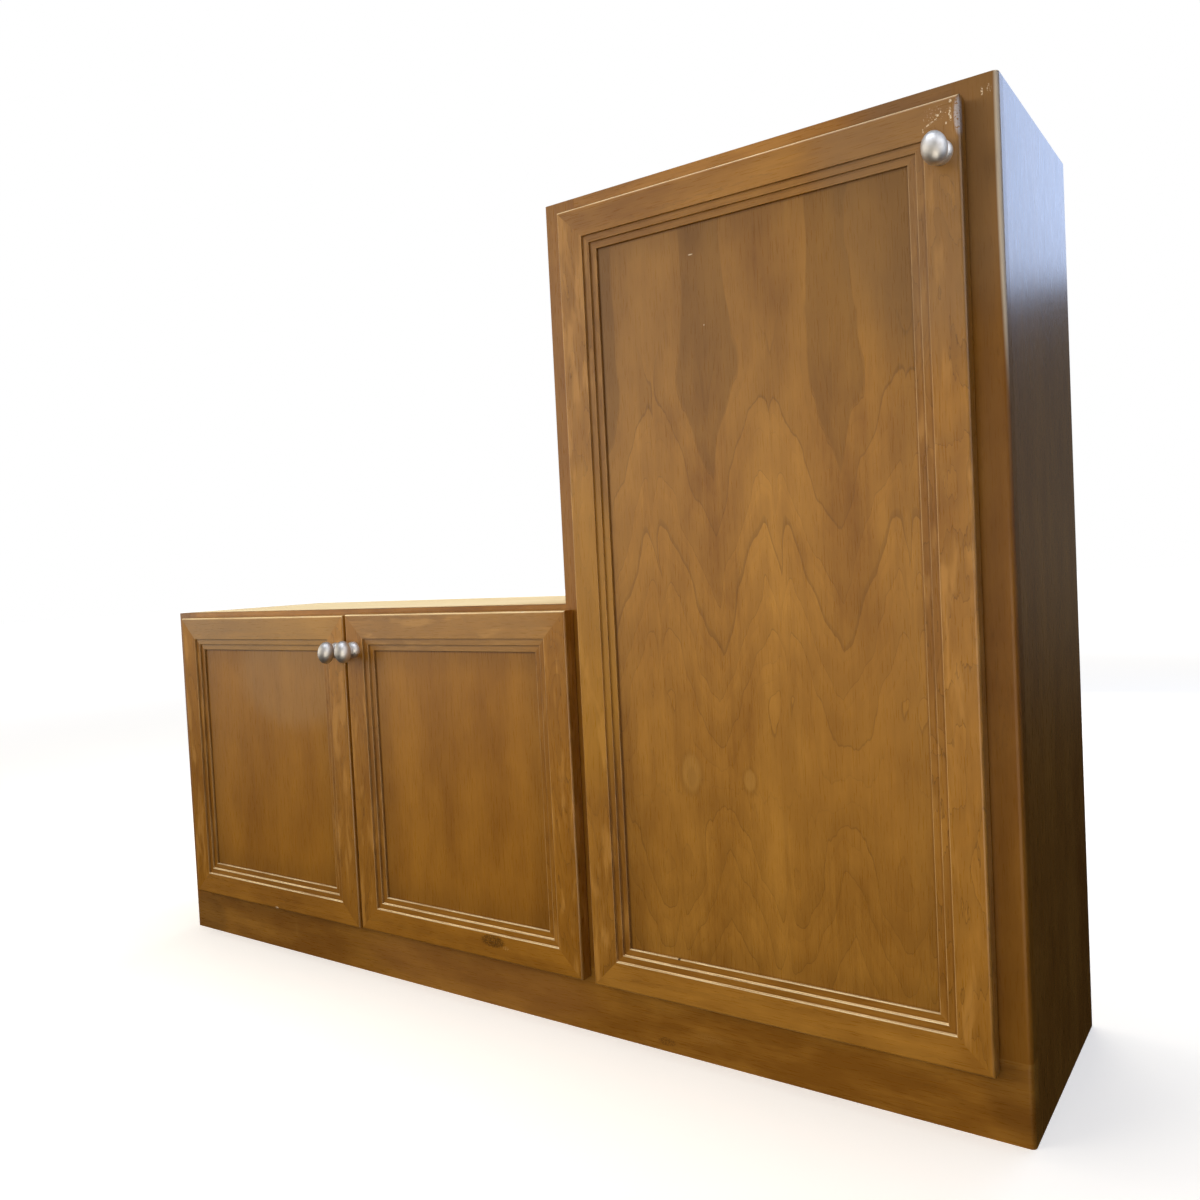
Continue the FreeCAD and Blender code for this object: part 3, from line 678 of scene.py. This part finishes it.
@dataclass(frozen=True)
class PlatedMetal:
    """Plated metal: tiny wear in the plating makes its gloss uneven."""

    name: str
    bright: str
    dull: str
    roughness: float
    patch: float

    PATCHES = (0.3, 0.7)
    DULLER = 0.07
    SHINIER = 0.05
    GRIT = 9.0             # grains of the plating in one patch
    RELIEF_STRENGTH = 0.08
    RELIEF_DEPTH = 0.05

    def material(self) -> bpy.types.Material:
        """Build the finish as a node material.

        Returns:
            The material, ready for a piece.
        """
        material, add = new_material(self.name)
        point = add("TexCoord", out="Object")
        place = add("Mapping", links={"Vector": point, "Scale": (1 / (MM * self.patch),) * 3})
        cloud = add("TexNoise", links={"Vector": place, "Scale": 1.0, "Detail": 4.0})
        fine = add("TexNoise", links={"Vector": place, "Scale": self.GRIT, "Detail": 2.0})
        worn, sound = self.PATCHES
        share = add("MapRange", links={0: cloud, 1: worn, 2: sound})
        colour = add("Mix", COLOUR_MIX,
                     {0: share, 6: linear(self.dull), 7: linear(self.bright)}, out=2)
        gloss = add("MapRange", links={0: cloud, 1: worn, 2: sound, 3: self.roughness + self.DULLER,
                                       4: self.roughness - self.SHINIER})
        relief = add("Bump", links={"Strength": self.RELIEF_STRENGTH, "Height": fine,
                                    "Distance": self.RELIEF_DEPTH * MM}, out="Normal")
        surface = add("BsdfPrincipled", links={
            "Base Color": colour, "Roughness": gloss, "Normal": relief, "Metallic": 1.0})
        add("OutputMaterial", links={"Surface": surface})
        return material


@dataclass(frozen=True)
class SoftVinyl:
    """Moulded vinyl of the bumpers: milky, slightly dusty."""

    name: str
    clear: str
    dusty: str

    SPECK = 2.5
    IOR = 1.45
    TRANSMISSION = 0.3

    def material(self) -> bpy.types.Material:
        """Build the finish as a node material.

        Returns:
            The material, ready for a piece.
        """
        material, add = new_material(self.name)
        point = add("TexCoord", out="Object")
        dust = add("TexNoise", links={"Vector": point, "Scale": 1 / (self.SPECK * MM),
                                       "Detail": 3.0})
        colour = add("Mix", COLOUR_MIX,
                     {0: dust, 6: linear(self.clear), 7: linear(self.dusty)}, out=2)
        gloss = add("MapRange", links={0: dust, 1: 0.3, 2: 0.7, 3: 0.35, 4: 0.6})
        surface = add("BsdfPrincipled", links={
            "Base Color": colour, "Roughness": gloss, "IOR": self.IOR,
            "Transmission Weight": self.TRANSMISSION})
        add("OutputMaterial", links={"Surface": surface})
        return material


@dataclass
class Door:
    """One door: mitred frame with a stepped moulding around a flat panel."""

    body: str
    seed: int
    panel_figure: Figure
    panel_tone: float = 0.0
    panel_clouding: float = 1.0
    frame_tones: dict[Side, float] = field(default_factory=dict)
    deep: float = 0.0
    glaze: str = "#FFFFFF"
    # strengths of the rubbed lines, partly painted highlight
    left_wear_and_highlight: float = 0.12
    rim: float = 0.08
    right_wear_and_highlight: tuple[float, float] = (0.12, 0.36)
    figured: tuple[Side, ...] = (Side.LEFT, Side.RIGHT)
    dulled: dict[Side, float] = field(default_factory=dict)
    panel_rings: float = 0.25
    panel_specular: float = 0.45
    panel_marks: tuple[Mark, ...] = ()
    frame_marks: dict[Side, tuple[Mark, ...]] = field(default_factory=dict)
    steps: tuple[float, ...] = (34.5, 43.0, 51.5)

    def dress_frame(self) -> None:
        """Finish the four members, each with its own board and its own wear and painted highlight."""
        # Arris and step lines: rubbed wear, with painted highlight on the upward-facing top arris,
        # the bottom steps and the left risers
        wear_and_highlight = {Side.LEFT: (0.12, self.left_wear_and_highlight), Side.RIGHT: self.right_wear_and_highlight,
                Side.TOP: (1.0, 0.05), Side.BOTTOM: (0.12, 1.0)}
        for number, side in enumerate(Side):
            node = f"{self.body}_{side.value}"
            low, high = (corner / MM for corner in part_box(node))
            outer = {Side.LEFT: low.x, Side.RIGHT: high.x, Side.TOP: high.z, Side.BOTTOM: low.z}
            arris, step = wear_and_highlight[side]
            upright = side in (Side.LEFT, Side.RIGHT)
            finish = StainedMaple(
                name=f"stained_maple_{node}",
                grain=GrainAxis.ALONG_Z if upright else GrainAxis.ALONG_X,
                figure=Figure.FLAT_SAWN if side in self.figured else Figure.QUIET,
                seed=self.seed + number,
                tone=self.frame_tones.get(side, 0.08), clouding=0.9 if upright else 1.1,
                ring_strength=0.6 if upright else 0.3,
                moulding=Moulding(side=side, outer=outer[side], steps=self.steps, front=low.y,
                                  arris_wear_and_highlight=arris, step_wear_and_highlight=step),
                marks=self.frame_marks.get(side, ()), marks_end=low.y + MOULDING_DEPTH,
                deep=self.deep, glaze=self.glaze, specular=self.dulled.get(side, 0.45))
            dress(node, finish.material())

    def dress_panel(self) -> None:
        """Finish the veneered panel."""
        node = f"{self.body}_panel"
        low, high = (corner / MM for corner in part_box(node))
        hidden = 8.0  # edge of the panel in its groove
        finish = StainedMaple(
            name=f"stained_maple_{node}", grain=GrainAxis.ALONG_Z, figure=self.panel_figure,
            seed=self.seed + 7, tone=self.panel_tone, clouding=self.panel_clouding,
            ring_strength=self.panel_rings, marks=self.panel_marks,
            marks_end=low.y + FACE_DEPTH, deep=self.deep, glaze=self.glaze,
            rim=self.rim, specular=self.panel_specular,
            corner_box=(low.x + hidden, high.x - hidden, low.z + hidden, high.z - hidden))
        dress(node, finish.material())

    def dress_fittings(self, nickel: bpy.types.Material, steel: bpy.types.Material,
                       vinyl: bpy.types.Material) -> None:
        """Finish the knob, screws, hinge cups and bumpers.

        Args:
            nickel: Finish of the knob.
            steel: Finish of the screws and cups.
            vinyl: Finish of the bumpers.
        """
        dress(f"{self.body}_knob", nickel)
        dress(f"{self.body}_bumpers", vinyl)
        for piece in ("knob_screw", "hinge_cups", "cup_screws"):
            dress(f"{self.body}_{piece}", steel)


@dataclass
class Carcass:
    """Face frame and case, with the shelves and everything screwed to them."""

    stiles: tuple[str, ...] = ("frame_left_stile", "frame_middle_stile", "frame_right_stile")
    rails: tuple[str, ...] = ("frame_low_top_rail", "frame_tall_top_rail", "frame_base_rail")
    tops: tuple[str, ...] = ("low_top", "tall_top")
    backs: tuple[str, ...] = ("low_back", "tall_back")
    inner_boards: tuple[str, ...] = (
        "low_bottom", "tall_bottom", "low_shelf", "tall_lower_shelf", "tall_upper_shelf",
        "low_hanging_rail", "tall_hanging_rail", "low_rear_plinth", "tall_rear_plinth")
    metal: tuple[str, ...] = (
        "shelf_pins", "hinge_pins", "hinge_plate_screws", "low_left_door_hinge_arms",
        "low_right_door_hinge_arms", "tall_door_hinge_arms")
    veneer: float = 0.8
    low_height: float = 535.0
    frame_marks: dict[str, tuple[Mark, ...]] = field(default_factory=dict)
    # members darkened as painted shade, with a duller gloss
    painted_shade: dict[str, float] = field(default_factory=dict)

    def dress_face_frame(self) -> None:
        """Finish the stiles and rails of the face frame."""
        for number, node in enumerate(self.stiles + self.rails):
            upright = node in self.stiles
            finish = StainedMaple(
                name=f"stained_maple_{node}",
                grain=GrainAxis.ALONG_Z if upright else GrainAxis.ALONG_X,
                figure=Figure.QUIET, seed=40 + number, tone=-0.28 if upright else -0.18,
                clouding=0.7 if upright else 1.3, ring_strength=0.25,
                deep=self.painted_shade.get(node, 0.05), marks=self.frame_marks.get(node, ()),
                marks_end=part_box(node)[0].y / MM + FACE_DEPTH,
                specular=0.2 if node in self.painted_shade else 0.45)
            dress(node, finish.material())

    def dress_sides(self) -> None:
        """Finish the side panels: stained veneer outside, pale laminate inside."""
        for number, (node, outer) in enumerate((("low_left_side", -1.0), ("tall_left_side", -1.0),
                                                ("tall_right_side", 1.0))):
            low, high = (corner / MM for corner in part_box(node))
            bound = low.x + self.veneer if outer < 0 else high.x - self.veneer
            finish = StainedMaple(
                name=f"stained_maple_{node}", grain=GrainAxis.ALONG_Z, figure=Figure.QUIET,
                seed=60 + number, tone=-0.2, ring_strength=0.2, deep=0.3 if outer > 0 else 0.0,
                inner_face=(0, bound, -outer),
                bare_below=self.low_height if node == "tall_left_side" else None)
            dress(node, finish.material())

    def dress_boards(self) -> None:
        """Finish tops, backs, bottoms, shelves and rails."""
        for number, node in enumerate(self.tops):
            dress(node, PaleBoard(f"raw_maple_{node}", GrainAxis.ALONG_X, seed=80 + number,
                                  light="#F3E6C4", dark="#E2CB9C", roughness=0.62).material())
        for number, node in enumerate(self.backs):
            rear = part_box(node)[1].y / MM - self.veneer
            dress(node, PaleBoard(f"hardboard_{node}", GrainAxis.ALONG_Z, seed=85 + number,
                                  light="#D9BE90", dark="#BF9F6C", roughness=0.5,
                                  rear=(rear, "#8C6A44")).material())
        for number, node in enumerate(self.inner_boards):
            dress(node, PaleBoard(f"maple_laminate_{node}", GrainAxis.ALONG_X, seed=90 + number,
                                  light="#DFC698", dark="#C7A873", roughness=0.45).material())

    def dress_metal(self, steel: bpy.types.Material) -> None:
        """Finish the pins, screws and hinge arms.

        Args:
            steel: Finish of the metal pieces.
        """
        for node in self.metal:
            dress(node, steel)


@dataclass(frozen=True)
class Lamp:
    """Soft box: its middle, the point it faces and its size in metres, and its power in watts."""

    name: str
    place: Point
    aim: Point
    size: tuple[float, float]
    power: float
    tint: str
    use: LampUse = LampUse.WASH


@dataclass
class Studio:
    """Pale floor, soft lights and the camera."""

    floor_size_m: float = 40.0
    camera_place_m: Point = (0.9011, -1.1472, 0.58168)
    camera_turn_deg: Point = (88.05618, 2.86687, 35.29222)
    lens: float = 30.8327
    sensor: float = 36.0
    shift: tuple[float, float] = (0.01192, 0.00028)
    lamps: tuple[Lamp, ...] = (
        Lamp("key", (-2.2, -2.8, 1.8), (0.1, -0.1, 0.5), (2.2, 1.8), 24.0, "#FFF8EE"),
        Lamp("fill", (0.75, -1.5, 0.6), (0.4, -0.1, 0.6), (0.9, 0.8), 9.5, "#FFF4E4"),
        Lamp("left_fill", (-0.6, -1.1, 1.2), (-0.3, -0.1, 0.4), (1.2, 0.8), 4.0, "#FFF4E4"),
        Lamp("top", (-0.3, 0.25, 2.6), (-0.2, 0.05, 0.5), (2.4, 1.4), 38.0, "#FFFBF0"),
        Lamp("rear", (-0.6, 2.6, 1.3), (0.0, 0.1, 0.5), (1.8, 1.4), 26.0, "#FFF8EE"),
        Lamp("window", (1.35, 3.0, 2.3), (0.6, 0.0, 0.9), (1.6, 1.5), 24.0, "#BFD6FF", LampUse.BOTH),
        Lamp("right_card", (2.4, -0.7, 1.6), (0.4, -0.2, 0.8), (1.8, 2.0), 20.0, "#F4F2F4",
             LampUse.SHINE),
        Lamp("low_card", (1.1, -1.5, 0.1), (0.1, -0.2, 0.6), (1.4, 1.0), 13.0, "#FFF1DC",
             LampUse.SHINE),
        Lamp("high_card", (0.2, -0.9, 2.3), (0.2, -0.2, 0.7), (1.8, 0.9), 18.0, "#EEF3FF",
             LampUse.SHINE),
    )

    def build_floor(self) -> None:
        """Lay a large pale floor with a faintly clouded paint."""
        mesh = bpy.data.meshes.new("floor")
        shape = bmesh.new()
        bmesh.ops.create_grid(shape, x_segments=2, y_segments=2, size=self.floor_size_m / 2)
        shape.to_mesh(mesh)
        shape.free()
        floor = bpy.data.objects.new("floor", mesh)
        bpy.context.scene.collection.objects.link(floor)
        material, add = new_material("pale_floor_paint")
        point = add("TexCoord", out="Object")
        cloud = add("TexNoise", links={"Vector": point, "Scale": 2.0, "Detail": 3.0})
        colour = add("Mix", COLOUR_MIX,
                     {0: cloud, 6: linear("#E9E8E5"), 7: linear("#F1F0EE")}, out=2)
        far = add("VectorMath", {"operation": "LENGTH"}, {0: point}, out="Value")
        glow = add("MapRange", SMOOTH, {0: far, 1: 0.8, 2: 7.0, 3: 0.45, 4: 0.95})
        surface = add("BsdfPrincipled", links={"Base Color": colour, "Roughness": 0.8,
                                               "Specular IOR Level": 0.1,
                                               "Emission Color": linear("#FFFFFF"),
                                               "Emission Strength": glow})
        add("OutputMaterial", links={"Surface": surface})
        mesh.materials.append(material)
        floor.visible_diffuse = False
        floor.visible_glossy = False

    def build_world(self) -> None:
        """Fill the room with a warm haze from the front left and cool daylight from the right."""
        world = bpy.data.worlds.new("studio_room")
        bpy.context.scene.world = world
        world.use_nodes = True
        tree = world.node_tree
        tree.nodes.clear()
        add = partial(add_node, tree)
        way = add("TexCoord", out="Generated")
        upward = add("SeparateXYZ", links={0: way}, out=2)
        # Haze towards the front left, brightest in its middle
        facing = add("VectorMath", {"operation": "DOT_PRODUCT"}, {0: way, 1: (-0.85, -0.5, 0.0)},
                     out="Value")
        side = add("MapRange", SMOOTH, {0: facing, 1: 0.4, 2: 0.95, 3: 0.14, 4: 1.15})
        bright = add("MapRange", SMOOTH, {0: facing, 1: 0.86, 2: 1.0, 3: 0.0, 4: 1.1})
        side = add("Math", {"operation": "ADD"}, {0: side, 1: bright})
        # None of it from below, and less from high up
        lift = add("MapRange", SMOOTH, {0: upward, 1: -0.2, 2: 0.02, 3: 0.02, 4: 1.0})
        dusk = add("MapRange", SMOOTH, {0: upward, 1: 0.2, 2: 0.6, 3: 1.0, 4: 0.45})
        strength = add("Math", {"operation": "MULTIPLY"}, {0: side, 1: lift})
        strength = add("Math", {"operation": "MULTIPLY"}, {0: strength, 1: dusk})
        room = add("Background", links={"Color": linear("#FFF3E2"), "Strength": strength})
        # Daylight from high on the right
        behind = add("VectorMath", {"operation": "DOT_PRODUCT"}, {0: way, 1: (0.8, 0.3, 0.52)},
                     out="Value")
        pane = add("MapRange", SMOOTH, {0: behind, 1: 0.6, 2: 0.95, 3: 0.0, 4: 0.5})
        daylight = add("Background", links={"Color": linear("#D5E4FF"), "Strength": pane})
        room = add("AddShader", links={0: room, 1: daylight})
        # The camera itself sees white paper
        paper = add("Background", links={"Color": linear("#FFFFFF"), "Strength": 1.0})
        seen = add("LightPath", out="Is Camera Ray")
        glow = add("MixShader", links={0: seen, 1: room, 2: paper})
        add("OutputWorld", links={"Surface": glow})

    def build_light(self, lamp: Lamp) -> None:
        """Hang one soft box.

        Args:
            lamp: Place, size, light and use of the box.
        """
        light = bpy.data.lights.new(lamp.name, "AREA")
        light.shape = "RECTANGLE"
        light.size, light.size_y = lamp.size
        light.energy = lamp.power
        light.color = linear(lamp.tint)[:3]
        box = bpy.data.objects.new(lamp.name, light)
        box.location = lamp.place
        box.visible_camera = False
        box.visible_diffuse = lamp.use is not LampUse.SHINE
        box.visible_glossy = lamp.use is not LampUse.WASH
        way = Vector(lamp.aim) - Vector(lamp.place)
        box.rotation_euler = way.to_track_quat("-Z", "Y").to_euler()
        bpy.context.scene.collection.objects.link(box)

    def build_camera(self) -> None:
        """Stand the camera where the photograph was taken."""
        data = bpy.data.cameras.new("view")
        data.lens = self.lens
        data.sensor_width = self.sensor
        data.shift_x, data.shift_y = self.shift
        data.clip_start = 0.01
        camera = bpy.data.objects.new("view", data)
        turn = Euler([math.radians(angle) for angle in self.camera_turn_deg], "XYZ")
        camera.matrix_world = Matrix.Translation(self.camera_place_m) @ turn.to_matrix().to_4x4()
        bpy.context.scene.collection.objects.link(camera)
        bpy.context.scene.camera = camera

    def build(self) -> None:
        """Set up the whole studio."""
        self.build_floor()
        self.build_world()
        for lamp in self.lamps:
            self.build_light(lamp)
        self.build_camera()
        view = bpy.context.scene.view_settings
        view.view_transform = "Standard"
        view.look = "None"


BARE = "#EBDCC2"
CHIPS = (
    Mark(615.0, 980.6, 9.5, 1.0, BARE, 0.5, 0.44), Mark(608.2, 975.5, 0.8, 2.4, BARE, 0.46),
    Mark(629.6, 977.0, 0.8, 1.5, BARE, 0.4), Mark(622.0, 985.5, 3.4, 1.1, BARE, 0.5, 0.6),
    Mark(633.5, 984.0, 2.0, 8.0, BARE, 0.53), Mark(634.0, 996.0, 1.6, 2.0, BARE, 0.45),
    Mark(620.0, 988.5, 15.0, 8.0, BARE, 0.62), Mark(616.0, 990.5, 9.0, 5.0, "#A98467", 0.57),
    Mark(640.6, 981.0, 4.6, 20.0, "#BDB6BA", 0.4),
)
NICKS_AND_PAINTED_LIGHT = (
    # Painted sheen: a greyish veil over the upper part of the right stile
    Mark(655.0, 1010.0, 45.0, 250.0, "#8C7355", cover=0.42),
    Mark(657.4, 1005.0, 1.2, 5.0, BARE, 0.5), Mark(664.0, 1006.0, 2.4, 5.0, BARE, 0.55),
    # Painted highlight: a pale strip along the stile's rounded outer edge
    Mark(673.0, 930.0, 6.5, 230.0, "#E2D6C4"),
)
SCUFFS_AND_PAINTED_LIGHT = (
    Mark(-410.0, 36.0, 4.0, 16.0, "#A67C40", 0.5, cover=0.45),
    # Darker towards the left end of the base
    Mark(-640.0, 20.0, 60.0, 50.0, "#4A2E10", cover=0.3),
    Mark(262.0, 12.0, 14.0, 6.0, "#3A1E08", 0.5, cover=0.6),
    Mark(320.0, 28.0, 24.0, 6.0, "#A67C40", 0.5, cover=0.4),
    # Painted shade: the right end of the base darkened under the shaded stile
    Mark(665.0, 55.0, 50.0, 60.0, "#5A3810", cover=0.4),
    # Painted light: a greyish lift across the middle of the base
    Mark(-40.0, 35.0, 240.0, 60.0, "#A77644", cover=0.25),
)
SWIRLS = (
    Mark(320.0, 340.0, 19.0, 32.0, "#6B4513", cover=0.3),
    Mark(320.0, 341.0, 15.0, 26.0, "#B98A42", cover=0.5),
    Mark(320.0, 336.0, 7.0, 15.0, "#7A5018", cover=0.2),
    Mark(393.0, 337.0, 12.0, 20.0, "#6B4513", cover=0.28),
    Mark(393.0, 338.0, 8.5, 14.5, "#B98A42", cover=0.5),
)
# Painted sheen: greyish veils over the upper right of the tall door, its panel and the rail above it,
# standing for a window's reflection
DOOR_PAINTED_SHEEN = Mark(620.0, 980.0, 150.0, 260.0, "#86715A", cover=0.36)
PANEL_PAINTED_SHEEN = Mark(600.0, 960.0, 110.0, 230.0, "#6B563C", cover=0.34)
RAIL_PAINTED_SHEEN = Mark(655.0, 1010.0, 150.0, 250.0, "#6E563E", cover=0.6)
LOW_GLAZE = "#FDF6D2"


def low_doors() -> tuple[Door, Door]:
    """Describe the two low doors: quiet panels under a warm glaze.

    Returns:
        The left and the right one.
    """
    left = Door(
        body="low_left_door", seed=1, panel_figure=Figure.QUIET, panel_tone=0.13, panel_clouding=0.8,
        frame_tones={Side.LEFT: 0.1}, deep=0.12, glaze=LOW_GLAZE, left_wear_and_highlight=0.42, rim=0.24,
        dulled={Side.LEFT: 0.16}, panel_rings=0.08, panel_specular=0.3,
        # Painted sheen: a greyish lift over the upper middle of the panel
        panel_marks=(Mark(-370.0, 440.0, 150.0, 100.0, "#B49A78", cover=0.2),),
        frame_marks={
            # Painted light: the top rail lightened
            Side.TOP: (Mark(-430.0, 508.0, 260.0, 60.0, "#CBAD6C", cover=0.2),
                       Mark(-329.0, 526.6, 2.5, 1.4, BARE)),
            Side.BOTTOM: (Mark(-428.4, 73.6, 4.0, 2.0, BARE, 0.46),)})
    right = Door(
        body="low_right_door", seed=11, panel_figure=Figure.QUIET, panel_tone=0.06,
        panel_clouding=0.8, frame_tones={Side.LEFT: 0.12}, deep=0.12, glaze=LOW_GLAZE,
        left_wear_and_highlight=0.3, rim=0.24, figured=(Side.LEFT, Side.RIGHT, Side.TOP), panel_rings=0.08,
        frame_marks={
            # Painted light: the top rail lightened
            Side.TOP: (Mark(-40.0, 508.0, 230.0, 60.0, "#C9B48A", cover=0.15),
                       Mark(92.0, 527.6, 3.0, 1.5, BARE)),
            Side.BOTTOM: (Mark(14.0, 97.0, 24.0, 10.0, "#452A07", 0.43, cover=0.75),
                          Mark(36.0, 91.0, 6.0, 3.0, "#C9A063", 0.5, cover=0.6))})
    return left, right


def tall_door() -> Door:
    """Describe the tall door: a peeled veneer, chipped near its knob, with a painted sheen about it.

    Returns:
        The door.
    """
    return Door(
        body="tall_door", seed=21, panel_figure=Figure.PEELED, panel_tone=0.04, panel_rings=0.42,
        left_wear_and_highlight=0.16, right_wear_and_highlight=(0.02, 0.36), rim=0.2,
        frame_tones={Side.LEFT: -0.2, Side.RIGHT: -0.06, Side.TOP: -0.18, Side.BOTTOM: 0.0},
        panel_marks=SWIRLS + (
            Mark(520.0, 350.0, 120.0, 240.0, "#7A5018", cover=0.16), PANEL_PAINTED_SHEEN,
            Mark(349.0, 917.0, 3.4, 0.8, BARE), Mark(362.0, 838.0, 0.9, 0.9, BARE)),
        frame_marks={
            Side.LEFT: (Mark(190.0, 510.0, 70.0, 230.0, "#BE8B2C", cover=0.4),),
            Side.RIGHT: (DOOR_PAINTED_SHEEN,) + CHIPS, Side.TOP: (DOOR_PAINTED_SHEEN,) + CHIPS,
            Side.BOTTOM: (Mark(293.5, 122.5, 2.0, 1.8, "#1B0F08"),)})


def main() -> None:
    """Dress every piece and set up the studio."""
    logging.basicConfig(level=logging.INFO, format="%(name)s %(message)s")
    nickel = PlatedMetal("satin_nickel", "#ECEDED", "#D5D4D1", roughness=0.52, patch=9.0).material()
    steel = PlatedMetal("zinc_plated_steel", "#C9CCD0", "#9A9EA3", roughness=0.34,
                        patch=5.0).material()
    vinyl = SoftVinyl("bumper_vinyl", "#D9D6CC", "#B9B4A6").material()
    for door in low_doors() + (tall_door(),):
        door.dress_frame()
        door.dress_panel()
        door.dress_fittings(nickel, steel, vinyl)
    carcass = Carcass(frame_marks={"frame_right_stile": NICKS_AND_PAINTED_LIGHT, "frame_tall_top_rail": (RAIL_PAINTED_SHEEN,),
                                   "frame_base_rail": SCUFFS_AND_PAINTED_LIGHT},
                      # the right stile darkened as painted shade beside the tall door
                      painted_shade={"frame_right_stile": 0.3})
    carcass.dress_face_frame()
    carcass.dress_sides()
    carcass.dress_boards()
    carcass.dress_metal(steel)
    Studio().build()


if __name__ == "__main__":
    main()
